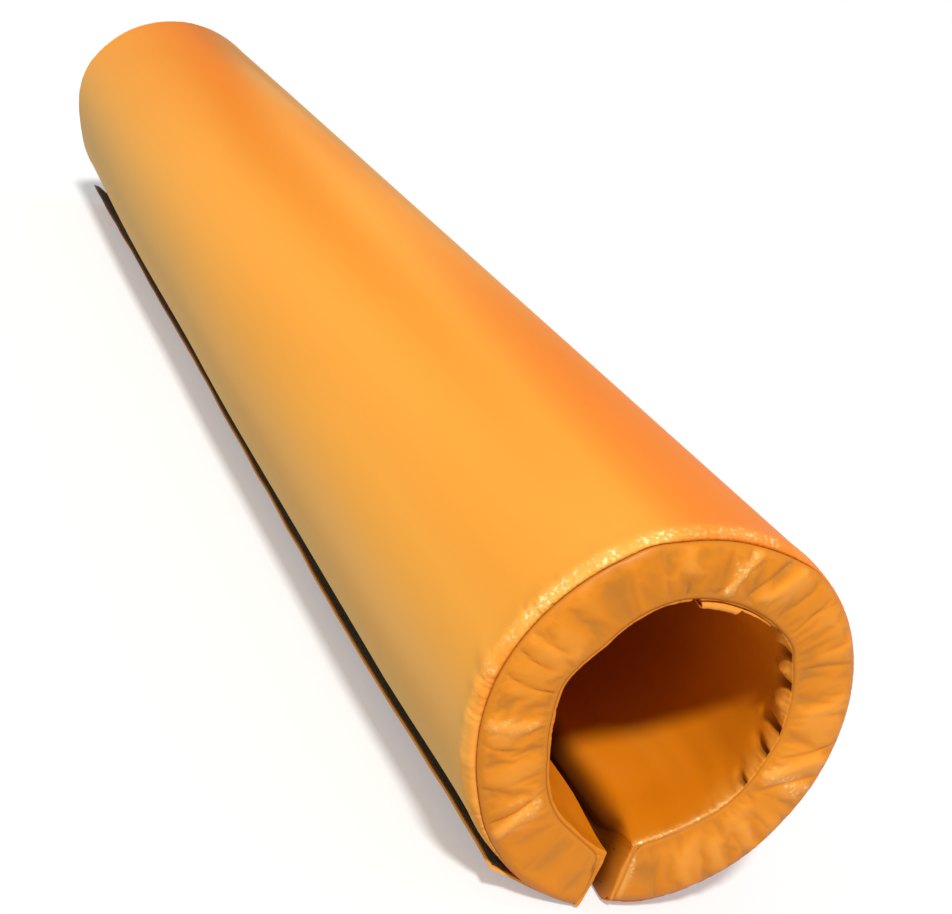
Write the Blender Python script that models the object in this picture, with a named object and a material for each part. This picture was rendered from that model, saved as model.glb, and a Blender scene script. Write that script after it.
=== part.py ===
# Split pole pad: a foam tube in a sewn cover of coated fabric, closed along its slit by a hook-and-loop flap.
# It lies with the slit down. The axis runs along Y with the near end at -Y, and the origin is on the floor
# under the middle of the tube. The left lip is at -X, and the flap is sewn on beside the right lip.

import math

import bmesh
import bpy
from mathutils import Vector

# Driving sizes, in metres and degrees
PAD_LENGTH = 1.5
OUTER_RADIUS = 0.132
BORE_RADIUS = 0.082
SLIT_GAP = 0.021
FABRIC_THICKNESS = 0.001
CLEARANCE = 0.0003

# End caps and shoulders
SHOULDER_DROP = 0.0068
SHOULDER_LENGTH = 0.009
SEAM_RECESS = 0.002
CAP_EDGE_SLOPE = 0.006
CAP_CROWN_WIDTH = 0.012
CAP_PLEAT_DEPTH = 0.0008
CAP_PLEATS = 17

# How the foam gives where the pad rests and where the lips part
BASE_BULGE = 0.0042
BASE_DROP = 0.0007
LEFT_BULGE_FULL = 12.0
LEFT_BULGE_END = 32.0
RIGHT_BULGE_FULL = 46.0
RIGHT_BULGE_END = 75.0
LIP_FLARE = 0.006
LIP_FLARE_ANGLE = 16.0
RIM_GATHER_DEPTH = 0.001
RIM_GATHER_REACH = 0.014

# Flap and tapes
FLAP_THICKNESS = 0.0015
FLAP_NEAR_SETBACK = 0.012
FLAP_FAR_SETBACK = 0.030
FLAP_EDGE_WIDTH = 0.012
FREE_EDGE_MARGIN = 0.002
TAPE_WIDTH = 0.050
TAPE_BACKING = 0.0005
TAPE_PILE = 0.001
TAPE_SELVEDGE = 0.0025
TAPE_END_MARGIN = 0.004
TAPE_FROM_LIP = 0.006
HOOK_TAPE_SHIFT = 0.015

# Seams
THREAD_DIAMETER = 0.0005
LIP_SEAM_MARGIN = 0.005
LIP_SEAM_END_MARGIN = 0.014
FOLD_WIDTH = 0.009
FOLD_START = 170.0
FOLD_END = 211.0

COLUMNS = 68
FOLD_COLUMNS = 8

# Worked out from the driving sizes
NEAR_END = -PAD_LENGTH / 2
FAR_END = PAD_LENGTH / 2
THREAD_RADIUS = THREAD_DIAMETER / 2
TAPE_THICKNESS = TAPE_BACKING + TAPE_PILE
SLIT_HALF = SLIT_GAP / 2
LIP_BACK = SLIT_HALF + FABRIC_THICKNESS
COVER_EDGE = LIP_BACK + CLEARANCE
CAP_OUTER_INSET = SHOULDER_DROP + FABRIC_THICKNESS + CLEARANCE
CAP_BORE_INSET = FABRIC_THICKNESS + CLEARANCE
FOAM_INSET = FABRIC_THICKNESS + CLEARANCE

# The stiff loop tape flattens the skin under it: a chord of the round, just wider than the tape
FACET_DISTANCE = math.sqrt(OUTER_RADIUS**2 - (TAPE_WIDTH / 2 + 2 * CLEARANCE) ** 2)
LOOP_BACK = FACET_DISTANCE + CLEARANCE
LOOP_FACE = LOOP_BACK + TAPE_THICKNESS
HOOK_FACE = LOOP_FACE + CLEARANCE
HOOK_BACK = HOOK_FACE + TAPE_THICKNESS
WEB_INNER = HOOK_BACK + CLEARANCE
WEB_OUTER = WEB_INNER + FLAP_THICKNESS
TAPE_CORNER = math.hypot(LOOP_FACE, TAPE_WIDTH / 2)
TAPE_ANGLE = math.atan2(TAPE_WIDTH / 2, LOOP_FACE) + math.asin((LIP_BACK + TAPE_FROM_LIP) / TAPE_CORNER)
TAPE_NORMAL = Vector((-math.sin(TAPE_ANGLE), -math.cos(TAPE_ANGLE)))
TAPE_ALONG = Vector((-math.cos(TAPE_ANGLE), math.sin(TAPE_ANGLE)))

# Heights under the axis: skin, top of the flap where it crosses the slit, and the floor
SKIN_LOW = OUTER_RADIUS + BASE_DROP
TAPE_LOW = math.sqrt(TAPE_CORNER**2 - (LIP_BACK + TAPE_FROM_LIP) ** 2)
WEB_TOP = max(SKIN_LOW, TAPE_LOW) + CLEARANCE
AXIS_HEIGHT = WEB_TOP + FLAP_THICKNESS
WEB_START = NEAR_END + FLAP_NEAR_SETBACK
WEB_END = FAR_END - FLAP_FAR_SETBACK
EDGE_START = LIP_BACK + 2 * CLEARANCE
HINGE_X = EDGE_START - CLEARANCE / 2

ORANGE = (0.81, 0.26, 0.025)
LINING_ORANGE = (0.60, 0.17, 0.012)
FOAM_CREAM = (0.80, 0.76, 0.62)
TAPE_BLACK = (0.012, 0.010, 0.009)
THREAD_BROWN = (0.36, 0.11, 0.015)


def clear_scene():
    for obj in list(bpy.data.objects):
        bpy.data.objects.remove(obj, do_unlink=True)


def material(name, color, roughness):
    made = bpy.data.materials.new(name)
    made.use_nodes = True
    shader = made.node_tree.nodes["Principled BSDF"]
    shader.inputs["Base Color"].default_value = (*color, 1.0)
    shader.inputs["Roughness"].default_value = roughness
    shader.inputs["Metallic"].default_value = 0.0
    return made


def add_mesh(name, bm, color, roughness):
    bmesh.ops.recalc_face_normals(bm, faces=bm.faces)
    mesh = bpy.data.meshes.new(name)
    bm.to_mesh(mesh)
    bm.free()
    mesh.shade_smooth()
    mesh.set_sharp_from_angle(angle=math.radians(32))
    mesh.materials.append(material(name, color, roughness))
    obj = bpy.data.objects.new(name, mesh)
    bpy.context.collection.objects.link(obj)
    return obj


def falloff(angle, full, end):
    """1 up to the full angle, then easing to 0 at the end angle."""
    share = min(max((angle - full) / (end - full), 0.0), 1.0)
    return 0.5 + 0.5 * math.cos(math.pi * share)


def outer_surface(angle):
    """Radius of the skin. The angle is in radians from straight down, turning towards the left lip."""
    turn = math.degrees(math.remainder(angle, math.tau))
    if turn >= 0:
        bulge = BASE_BULGE * falloff(turn, LEFT_BULGE_FULL, LEFT_BULGE_END)
    else:
        bulge = BASE_BULGE * falloff(-turn, RIGHT_BULGE_FULL, RIGHT_BULGE_END)
    radius = OUTER_RADIUS + bulge
    if math.cos(angle - TAPE_ANGLE) > 0.5:
        radius = min(radius, FACET_DISTANCE / math.cos(angle - TAPE_ANGLE))
    if math.cos(angle) > 0.5:
        radius = min(radius, SKIN_LOW / math.cos(angle))
    return radius


def bore_surface(angle):
    """Radius of the lining, which opens out towards the lips."""
    turn = math.degrees(math.remainder(angle, math.tau))
    return BORE_RADIUS + LIP_FLARE * math.exp(-((turn / LIP_FLARE_ANGLE) ** 2))


def point_radius(point, angle):
    surface, inset = point[0], point[1]
    if surface == "outer":
        return outer_surface(angle) - inset
    return bore_surface(angle) + inset


def edge_angle(point, edge, side):
    """Angle at which this ring of the section reaches the slit's face at x = edge."""
    angle = 0.0
    for _ in range(6):
        angle = math.asin(edge / point_radius(point, side * angle))
    return angle


def section_point(point, share, edge):
    """The point of a profile at a share of the way round, from the left lip over the top to the right lip."""
    first = edge_angle(point, edge, 1)
    last = math.tau - edge_angle(point, edge, -1)
    angle = first + share * (last - first)
    radius = point_radius(point, angle)
    ripple = point[3] if len(point) > 3 else None
    y = point[2]
    if ripple:
        radius, y = ripple(radius, y, share)
    return Vector((-radius * math.sin(angle), y, AXIS_HEIGHT - radius * math.cos(angle)))


def sweep(columns):
    """A closed body through columns of points that go round the same profile."""
    bm = bmesh.new()
    rows = [[bm.verts.new(point) for point in column] for column in columns]
    count = len(rows[0])
    for here, there in zip(rows, rows[1:]):
        for i in range(count):
            j = (i + 1) % count
            bm.faces.new((here[i], here[j], there[j], there[i]))
    bm.faces.new(list(reversed(rows[0])))
    bm.faces.new(rows[-1])
    return bm


def split_tube(name, profile, edge, color, roughness):
    """A body swept round the tube from lip to lip."""
    shares = [column / COLUMNS for column in range(COLUMNS + 1)]
    columns = [[section_point(point, share, edge) for point in profile] for share in shares]
    return add_mesh(name, sweep(columns), color, roughness)


def both_ends(path):
    """A path along the near end, repeated in reverse along the far end."""
    return path + [(p[0], p[1], -p[2], *p[3:]) for p in reversed(path)]


def shoulder(angles, inset):
    """Points round the shoulder, from the seam up to the full radius."""
    points = []
    for degrees in angles:
        turn = math.radians(degrees)
        drop = SHOULDER_DROP * (1 - math.sin(turn))
        y = NEAR_END + SEAM_RECESS + SHOULDER_LENGTH * (1 - math.cos(turn))
        points.append(("outer", inset + drop, y))
    return points


def make_outer_skin():
    outside = both_ends(shoulder((0, 30, 60, 90), 0.0))
    inside = both_ends(shoulder((0, 45, 90), FABRIC_THICKNESS))
    return split_tube("outer_skin", outside + inside[::-1], COVER_EDGE, ORANGE, 0.4)


def make_foam_core():
    face = NEAR_END + FABRIC_THICKNESS + CLEARANCE
    edge = face + SEAM_RECESS + CLEARANCE
    straight = NEAR_END + SEAM_RECESS + SHOULDER_LENGTH
    near = [
        ("bore", FOAM_INSET, edge),
        ("bore", CAP_BORE_INSET + CAP_CROWN_WIDTH, face),
        ("outer", CAP_OUTER_INSET + CAP_CROWN_WIDTH, face),
        ("outer", CAP_OUTER_INSET + CLEARANCE, edge),
        ("outer", FOAM_INSET, straight),
    ]
    outside = [(p[0], p[1], -p[2]) for p in reversed(near)]
    return split_tube("foam_core", near + outside, COVER_EDGE, FOAM_CREAM, 0.9)


def gathered(radius, y, share):
    """Small gathers where the lining is drawn into the rim."""
    wave = 0.5 - 0.5 * math.cos(math.tau * CAP_PLEATS * share)
    return radius - RIM_GATHER_DEPTH * wave, y


def make_inner_lining():
    rim = NEAR_END + SEAM_RECESS / 2
    reach = rim + RIM_GATHER_REACH
    inside = both_ends([("bore", 0.0, rim), ("bore", 0.0, reach, gathered), ("bore", 0.0, reach + RIM_GATHER_REACH)])
    outside = both_ends([("bore", FABRIC_THICKNESS, rim)])
    return split_tube("inner_lining", inside + outside[::-1], COVER_EDGE, LINING_ORANGE, 0.45)


def pleated(direction):
    """Pleats of an end cap, which rise outwards between the stitches."""

    def ripple(radius, y, share):
        wave = 0.5 - 0.5 * math.cos(math.tau * CAP_PLEATS * share)
        return radius, y + direction * CAP_PLEAT_DEPTH * wave

    return ripple


def cap_front(side):
    """The outside of an end cap from its outer seam to its bore seam. Side is -1 at the near end, 1 at the far."""
    crown = side * PAD_LENGTH / 2
    slope = side * (PAD_LENGTH / 2 - SEAM_RECESS + CAP_PLEAT_DEPTH)
    seam = side * (PAD_LENGTH / 2 - SEAM_RECESS)
    ripple = pleated(side)
    return [
        ("outer", CAP_OUTER_INSET, seam),
        ("outer", CAP_OUTER_INSET + CAP_EDGE_SLOPE, slope, ripple),
        ("outer", CAP_OUTER_INSET + CAP_CROWN_WIDTH, crown),
        ("bore", CAP_BORE_INSET + CAP_CROWN_WIDTH, crown),
        ("bore", CAP_BORE_INSET + CAP_EDGE_SLOPE, slope, ripple),
        ("bore", CAP_BORE_INSET, seam),
    ]


def make_end_cap(name, side):
    front = cap_front(side)
    plain = [front[5], front[3], front[2], front[0]]
    back = [(p[0], p[1], p[2] - side * FABRIC_THICKNESS) for p in plain]
    return split_tube(name, front + back, SLIT_HALF, ORANGE, 0.42)


def straight_body(name, outline, start, end, color, roughness):
    """An outline in x and z, drawn along Y."""
    columns = [[Vector((x, y, z)) for x, z in outline] for y in (start, end)]
    return add_mesh(name, sweep(columns), color, roughness)


def tape_point(distance, along):
    """A point of the tape's plane: its distance from the tube's axis, and how far up the side it lies."""
    spot = TAPE_NORMAL * distance + TAPE_ALONG * along
    return (spot.x, AXIS_HEIGHT + spot.y)


def make_tape(name, back, face, middle):
    """Tape with a thin woven selvedge along each side of its pile."""
    step = TAPE_BACKING if face > back else -TAPE_BACKING
    half = TAPE_WIDTH / 2
    pile = half - TAPE_SELVEDGE
    outline = [
        tape_point(back, middle - half),
        tape_point(back, middle + half),
        tape_point(back + step, middle + half),
        tape_point(back + step, middle + pile),
        tape_point(face, middle + pile),
        tape_point(face, middle - pile),
        tape_point(back + step, middle - pile),
        tape_point(back + step, middle - half),
    ]
    start = WEB_START + TAPE_END_MARGIN
    end = WEB_END - TAPE_END_MARGIN
    return straight_body(name, outline, start, end, TAPE_BLACK, 0.95)


def crossing(distance, depth):
    """Where the tape's plane at this distance meets the level at this depth under the axis."""
    x = (distance - math.cos(TAPE_ANGLE) * depth) / math.sin(TAPE_ANGLE)
    return (-x, AXIS_HEIGHT - depth)


def make_closure_flap():
    """The flap lies flat under the slit, bends beside the left lip and runs up the side with its tape."""
    free_edge = HOOK_TAPE_SHIFT + TAPE_WIDTH / 2 + FREE_EDGE_MARGIN
    top = AXIS_HEIGHT - WEB_TOP
    outline = [
        (EDGE_START - CLEARANCE, 0.0),
        (EDGE_START - CLEARANCE, top),
        crossing(WEB_INNER, WEB_TOP),
        tape_point(WEB_INNER, free_edge),
        tape_point(WEB_OUTER, free_edge),
        crossing(WEB_OUTER, AXIS_HEIGHT),
    ]
    return straight_body("closure_flap", outline, WEB_START, WEB_END, ORANGE, 0.45)


def make_flap_sewn_edge():
    """The sewn edge, with a groove for each row of stitches."""
    end = EDGE_START + FLAP_EDGE_WIDTH
    reach = THREAD_RADIUS + CLEARANCE
    depth = THREAD_DIAMETER + 2 * CLEARANCE
    outline = [(EDGE_START, 0.0)]
    for row in edge_rows():
        outline += [(row - reach, 0.0), (row - reach, depth), (row + reach, depth), (row + reach, 0.0)]
    outline += [(end, 0.0), (end, FLAP_THICKNESS), (EDGE_START, FLAP_THICKNESS)]
    return straight_body("flap_sewn_edge", outline, WEB_START, WEB_END, ORANGE, 0.45)


def edge_rows():
    return [EDGE_START + FLAP_EDGE_WIDTH * share for share in (0.25, 0.75)]


def lip_outline():
    """A lip panel in y and z: shouldered ends, and feet that reach the floor beyond the flap's ends."""
    start = NEAR_END + SEAM_RECESS + FABRIC_THICKNESS + CLEARANCE
    full = NEAR_END + SEAM_RECESS + SHOULDER_LENGTH
    low = AXIS_HEIGHT - SKIN_LOW
    raised = low + CAP_OUTER_INSET
    top = AXIS_HEIGHT - math.sqrt(bore_surface(0.0) ** 2 - SLIT_HALF**2)
    return [
        (start, top),
        (start, raised),
        (full, low),
        (full, 0.0),
        (WEB_START - CLEARANCE, 0.0),
        (WEB_START - CLEARANCE, low),
        (WEB_END + CLEARANCE, low),
        (WEB_END + CLEARANCE, 0.0),
        (-full, 0.0),
        (-full, low),
        (-start, raised),
        (-start, top),
    ]


def make_lip_panel(name, side):
    outline = lip_outline()
    columns = [[Vector((side * x, y, z)) for y, z in outline] for x in (SLIT_HALF, LIP_BACK)]
    return add_mesh(name, sweep(columns), ORANGE, 0.45)


def thread(name, points):
    curve = bpy.data.curves.new(name, "CURVE")
    curve.dimensions = "3D"
    curve.bevel_depth = THREAD_RADIUS
    curve.bevel_resolution = 1
    curve.use_fill_caps = True
    line = curve.splines.new("POLY")
    line.points.add(len(points) - 1)
    for spot, point in zip(line.points, points):
        spot.co = (*point, 1.0)
    curve.materials.append(material(name, THREAD_BROWN, 0.8))
    obj = bpy.data.objects.new(name, curve)
    bpy.context.collection.objects.link(obj)
    return obj


def cap_thread(name, side, first, second):
    """A row of stitches round an end cap, midway between two rings of it."""
    front = cap_front(side)
    lift = Vector((0.0, side * (2 * CLEARANCE + THREAD_RADIUS), 0.0))
    points = []
    for column in range(COLUMNS + 1):
        share = column / COLUMNS
        a = section_point(front[first], share, SLIT_HALF + FABRIC_THICKNESS)
        b = section_point(front[second], share, SLIT_HALF + FABRIC_THICKNESS)
        points.append((a + b) / 2 + lift)
    return thread(name, points)


def straight_thread(name, x, z, margin=0.0):
    return thread(name, [(x, WEB_START + margin, z), (x, WEB_END - margin, z)])


def make_lip_threads():
    out = SLIT_HALF - CLEARANCE - THREAD_RADIUS
    outer = AXIS_HEIGHT - SKIN_LOW + LIP_SEAM_MARGIN
    inner = AXIS_HEIGHT - BORE_RADIUS - LIP_FLARE - LIP_SEAM_MARGIN
    for side, label in ((-1, "left"), (1, "right")):
        for z, place in ((outer, "outer"), (inner, "inner")):
            start = NEAR_END + LIP_SEAM_END_MARGIN
            points = [(side * out, start, z), (side * out, -start, z)]
            thread(f"{label}_lip_{place}_thread", points)


def make_tape_threads():
    """The loop tape's rows lie on its selvedges, and the hook tape's show on the outside of the flap."""
    reach = (TAPE_WIDTH - TAPE_SELVEDGE) / 2
    loop = LOOP_BACK + TAPE_BACKING + CLEARANCE + THREAD_RADIUS
    hook = WEB_OUTER + CLEARANCE + THREAD_RADIUS
    for label, distance, middle in (("loop_tape", loop, 0.0), ("hook_tape", hook, HOOK_TAPE_SHIFT)):
        for place, side in (("lower", -1), ("upper", 1)):
            x, z = tape_point(distance, middle + side * reach)
            straight_thread(f"{label}_{place}_thread", x, z, TAPE_END_MARGIN)


def make_edge_threads():
    for number, x in enumerate(edge_rows(), start=1):
        straight_thread(f"flap_edge_thread_{number}", x, CLEARANCE + THREAD_RADIUS, TAPE_END_MARGIN)


def make_seam_allowance_fold():
    """A strip of seam allowance that has come out inside the top of the near rim."""
    start = NEAR_END + SEAM_RECESS / 2
    low = CLEARANCE + FABRIC_THICKNESS
    profile = [("bore", -CLEARANCE, start), ("bore", -low, start)]
    profile += [("bore", -low - RIM_GATHER_DEPTH, start + FOLD_WIDTH)]
    profile += [("bore", -low - RIM_GATHER_DEPTH + FABRIC_THICKNESS, start + FOLD_WIDTH)]
    columns = []
    for column in range(FOLD_COLUMNS + 1):
        angle = math.radians(FOLD_START + (FOLD_END - FOLD_START) * column / FOLD_COLUMNS)
        ring = []
        for point in profile:
            radius = point_radius(point, angle)
            ring.append(Vector((-radius * math.sin(angle), point[2], AXIS_HEIGHT - radius * math.cos(angle))))
        columns.append(ring)
    return add_mesh("seam_allowance_fold", sweep(columns), LINING_ORANGE, 0.5)


def make_flap():
    """The flap's pieces turn together, so an empty on the hinge line carries them."""
    hinge = bpy.data.objects.new("flap_hinge", None)
    hinge.location = (HINGE_X, 0.0, 0.0)
    bpy.context.collection.objects.link(hinge)
    make_closure_flap()
    make_tape("hook_tape", HOOK_BACK, HOOK_FACE, HOOK_TAPE_SHIFT)
    bpy.context.view_layer.update()
    for name in ("closure_flap", "hook_tape", "hook_tape_lower_thread", "hook_tape_upper_thread"):
        piece = bpy.data.objects[name]
        piece.parent = hinge
        piece.matrix_parent_inverse = hinge.matrix_world.inverted()


def main():
    clear_scene()
    make_foam_core()
    make_outer_skin()
    make_inner_lining()
    make_end_cap("near_end_cap", -1)
    make_end_cap("far_end_cap", 1)
    make_lip_panel("left_lip_panel", -1)
    make_lip_panel("right_lip_panel", 1)
    make_tape("loop_tape", LOOP_BACK, LOOP_FACE, 0.0)
    make_flap_sewn_edge()
    make_seam_allowance_fold()
    for side, end in ((-1, "near"), (1, "far")):
        cap_thread(f"{end}_outer_seam_thread", side, 0, 1)
        cap_thread(f"{end}_inner_seam_thread", side, 5, 4)
    make_lip_threads()
    make_tape_threads()
    make_edge_threads()
    make_flap()


main()
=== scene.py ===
from functools import cache
from math import asin, atan2, cos, degrees, exp, hypot, pi, radians, sin, sqrt

import bpy
from mathutils import Matrix, Vector, noise


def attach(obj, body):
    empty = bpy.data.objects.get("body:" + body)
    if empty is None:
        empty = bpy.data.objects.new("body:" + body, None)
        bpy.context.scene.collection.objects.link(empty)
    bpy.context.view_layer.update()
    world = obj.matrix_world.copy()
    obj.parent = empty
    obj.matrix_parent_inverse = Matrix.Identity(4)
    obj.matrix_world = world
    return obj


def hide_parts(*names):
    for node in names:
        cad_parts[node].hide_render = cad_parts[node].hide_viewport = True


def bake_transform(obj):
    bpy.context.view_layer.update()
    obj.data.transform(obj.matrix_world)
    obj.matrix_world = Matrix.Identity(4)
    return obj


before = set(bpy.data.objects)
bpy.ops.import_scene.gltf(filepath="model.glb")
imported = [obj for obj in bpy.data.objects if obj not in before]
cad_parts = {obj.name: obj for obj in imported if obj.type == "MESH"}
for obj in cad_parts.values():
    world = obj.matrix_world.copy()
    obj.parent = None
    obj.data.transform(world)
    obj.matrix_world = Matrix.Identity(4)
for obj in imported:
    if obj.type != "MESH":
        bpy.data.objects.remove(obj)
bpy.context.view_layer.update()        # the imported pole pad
print("frame loaded:", len(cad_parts), "nodes")

# Lengths are in metres. The tube lies along Y, slit down, near end at -Y.
# A turn is in degrees from straight down, up the left side, over the top and down the right.
tube = {
    "length": 1.5,
    "outer": 0.132,
    "bore": 0.082,
    "axisHeight": 0.1345,
    "coverEdge": (0.0118, 0.0092),     # from the middle of the slit to the skin, left and right
    "fabric": 0.001,
    "seamBehindFace": 0.002,
    "shoulderLength": 0.0095,
    "baseBulge": 0.0042,
    "skinLow": 0.1327,
    "facet": 0.1295,
    "tapeTurn": 18.3,
    "waviness": 0.0007,                # the foam isn't quite round
    "lipFlare": (0.0045, -0.0012),     # the left lip is pressed down, the right one bulges
    "lipFlareTurn": 16,
    # mm that the left side is pressed in along the flap; below zero the flap stands away from it
    "lowSide": [(-0.75, 2.0), (-0.70, 2.7), (-0.62, 1.2), (-0.54, -1.1), (-0.44, -2.9), (-0.32, -1.8), (-0.18, -0.6),
                (-0.02, 1.0), (0.10, 2.8), (0.32, 3.7), (0.45, 5.4), (0.594, 9.0), (0.713, 12.0), (0.75, 13.0)],
}
nearFace = -tube["length"] / 2
farFace = tube["length"] / 2


def clamp(value, low=0.0, high=1.0):
    return min(max(value, low), high)


def mix(a, b, share):
    return a + (b - a) * share


def fade(value, full, end):
    return 0.5 + 0.5 * cos(pi * clamp((value - full) / (end - full)))


def bump(value, middle, width):
    return exp(-((value - middle) / width) ** 2)


def softMin(a, b, width=0.0012):
    h = clamp(0.5 + 0.5 * (b - a) / width)
    return b + (a - b) * h - width * h * (1 - h)


def spaced(start, stop, steps):
    return [mix(start, stop, k / steps) for k in range(steps + 1)]


def throughPoints(points, at):
    # a smooth curve through (place, value) pairs
    if at <= points[0][0]:
        return points[0][1]
    if at >= points[-1][0]:
        return points[-1][1]
    i = max(k for k in range(len(points) - 1) if points[k][0] <= at)
    (x0, y0), (x1, y1) = points[i], points[i + 1]
    before = points[max(i - 1, 0)]
    after = points[min(i + 2, len(points) - 1)]
    slopeIn = (y1 - before[1]) / (x1 - before[0])
    slopeOut = (after[1] - y0) / (after[0] - x0)
    span = x1 - x0
    t = (at - x0) / span
    return ((2 * t ** 3 - 3 * t ** 2 + 1) * y0 + (t ** 3 - 2 * t ** 2 + t) * span * slopeIn
            + (3 * t ** 2 - 2 * t ** 3) * y1 + (t ** 3 - t ** 2) * span * slopeOut)


def ripple(x, y, seed):
    return noise.noise(Vector((x, y, seed * 7.31)))


def sineCosine(turn):
    return sin(radians(turn)), cos(radians(turn))


def roundTube(turn, radius, y):
    s, k = sineCosine(turn)
    return Vector((-radius * s, y, tube["axisHeight"] - radius * k))


def aroundTube(x, z):
    # the turn and the distance from the axis, of a place seen from the end
    return degrees(atan2(-x, tube["axisHeight"] - z)) % 360, hypot(x, z - tube["axisHeight"])


def turnAt(share, radius, edges):
    # the share of the way round from the left edge to the right edge, at this radius
    left, right = (degrees(asin(edge / radius)) for edge in edges)
    return left + share * (360 - left - right)


# The outside of the tube, as the foam holds it.

def pressed(along):
    # the share of the left side's give, by the place across the tape
    return 1 - fade(along, -0.010, 0.050)


def skinRadius(turn, y):
    full, end = (12, 32) if turn <= 180 else (46, 75)
    fromSlit = min(turn, 360 - turn)
    radius = tube["outer"] + tube["baseBulge"] * fade(fromSlit, full, end)
    for level, middle in ((tube["facet"], tube["tapeTurn"]), (tube["skinLow"], 0)):
        facing = cos(radians(turn - middle))
        if facing > 0.5:
            radius = softMin(radius, level / facing)
    give = tube["waviness"] * fade(-fromSlit, -75, -45)
    x, z = sineCosine(turn)
    radius += give * noise.noise(Vector((2.2 * x, 2.2 * z, 1.4 * y))) - 0.3 * give
    if turn < 114:
        along = tube["outer"] * sin(radians(min(turn - tube["tapeTurn"], 90)))
        deep = 0.001 * max(throughPoints(tube["lowSide"], y), 0)
        radius -= deep * pressed(along) * fade(turn, 66, 114)
    return radius


# The near seams follow the photo: radii as shares of the outer radius, at turns from lip to lip.
nearEnd = {
    "seam": [(4, 1.012), (15, 1.0), (30, 0.982), (40, 0.962), (47, 0.954), (61, 0.932), (76, 0.932), (87, 0.940),
             (100, 0.948), (144, 0.950), (153, 0.960), (163, 0.945), (182, 0.944), (190, 0.948), (201, 0.963),
             (208, 0.978), (225, 0.980), (250, 0.974), (275, 0.973), (300, 0.982), (315, 0.990), (335, 0.994),
             (348, 0.984), (356, 0.962)],
    "rim": [(4, 0.696), (12, 0.673), (25, 0.643), (36, 0.635), (45, 0.622), (55, 0.606), (64, 0.593), (70, 0.585),
            (86, 0.594), (96, 0.612), (105, 0.626), (114, 0.617), (127, 0.606), (139, 0.625), (150, 0.644),
            (161, 0.654), (185, 0.656), (205, 0.663), (225, 0.672), (233, 0.653), (254, 0.622), (269, 0.619),
            (281, 0.606), (295, 0.607), (309, 0.603), (326, 0.593), (346, 0.617), (353, 0.640)],
}


farEnd = {"seamDrop": 0.0068, "seamWaver": 0.0012, "rimWaver": 0.0022}


def boreRadius(turn):
    return tube["bore"] + tube["lipFlare"][turn > 180] * bump(min(turn, 360 - turn), 0, tube["lipFlareTurn"])


def seamRadius(turn, end):
    if end < 0:
        return tube["outer"] * throughPoints(nearEnd["seam"], turn)
    return skinRadius(turn, farFace) - farEnd["seamDrop"] + farEnd["seamWaver"] * ripple(turn / 21, 0, 3)


def rimRadius(turn, end):
    if end < 0:
        return tube["outer"] * throughPoints(nearEnd["rim"], turn)
    return boreRadius(turn) + farEnd["rimWaver"] * ripple(turn / 26, 0, 5)


def skinProfile(turn, behind, end):
    # the skin's radius at a distance behind the end face, over the shoulder and along the tube
    y = end * (farFace - behind)
    full = skinRadius(turn, y)
    reach = clamp((behind - tube["seamBehindFace"]) / tube["shoulderLength"])
    return full - (full - seamRadius(turn, end)) * (1 - sqrt(reach * (2 - reach)))


def liningProfile(turn, depth, end):
    rim = rimRadius(turn, end)
    return rim + (boreRadius(turn) - rim) * (1 - fade(depth, 0.002, 0.060))


# The hollow goes up the left face of the slit, round the bore and down the right face.
# The left lip is a sharp fold all along, and the right one at the end faces only.
hollow = {
    # x of a face at the bottom and at the bore, first at the end faces, then deep inside
    "left": ((-0.0118, -0.0070), (-0.0105, -0.0085)),
    "right": ((0.0082, 0.0090), (0.0100, 0.0068)),
    "leftRound": (0.0014, 0.0010),
    "rightRound": (0.0034, 0.0130),
    "underTurn": (0, 40),        # how far the right round carries on under itself
    "changeDepth": 0.044,
    "slitTurns": (174, 174.8),   # how far round from the top the slit's edges are, in the bore and on the skin
    "aboveSkin": 0.0008,
    # shares of the way at which the face, the round, the bore, the round and the other face meet
    "stations": (0.072, 0.077, 0.906, 0.950),
    "length": 0.585,
}
sections = {}


def sectionAt(depth, end):
    key = (round(depth * 1e6), end)
    if key not in sections:
        deep = 1 - fade(depth, 0.0, hollow["changeDepth"])
        made = {}
        for side, name in ((-1, "left"), (1, "right")):
            low, high = (mix(a, b, deep) for a, b in zip(*hollow[name]))
            bend = mix(*hollow[name + "Round"], deep)
            x = high + side * bend
            turn = 180 + side * hollow["slitTurns"][0]
            for _ in range(3):
                reach = liningProfile(turn, depth, end) + bend
                turn = degrees(asin(abs(x) / reach))
                turn = turn if side < 0 else 360 - turn
            z = tube["axisHeight"] - sqrt(reach ** 2 - x ** 2)
            bottom = skinProfile(180 + side * hollow["slitTurns"][1], max(depth, tube["seamBehindFace"]), end)
            bottom -= hollow["aboveSkin"]
            under = radians(mix(*hollow["underTurn"], deep)) if side > 0 else 0.0
            made[side] = (low, high, bend, x, z, turn, tube["axisHeight"] - sqrt(bottom ** 2 - low ** 2), under)
        sections[key] = made
    return sections[key]


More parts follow.
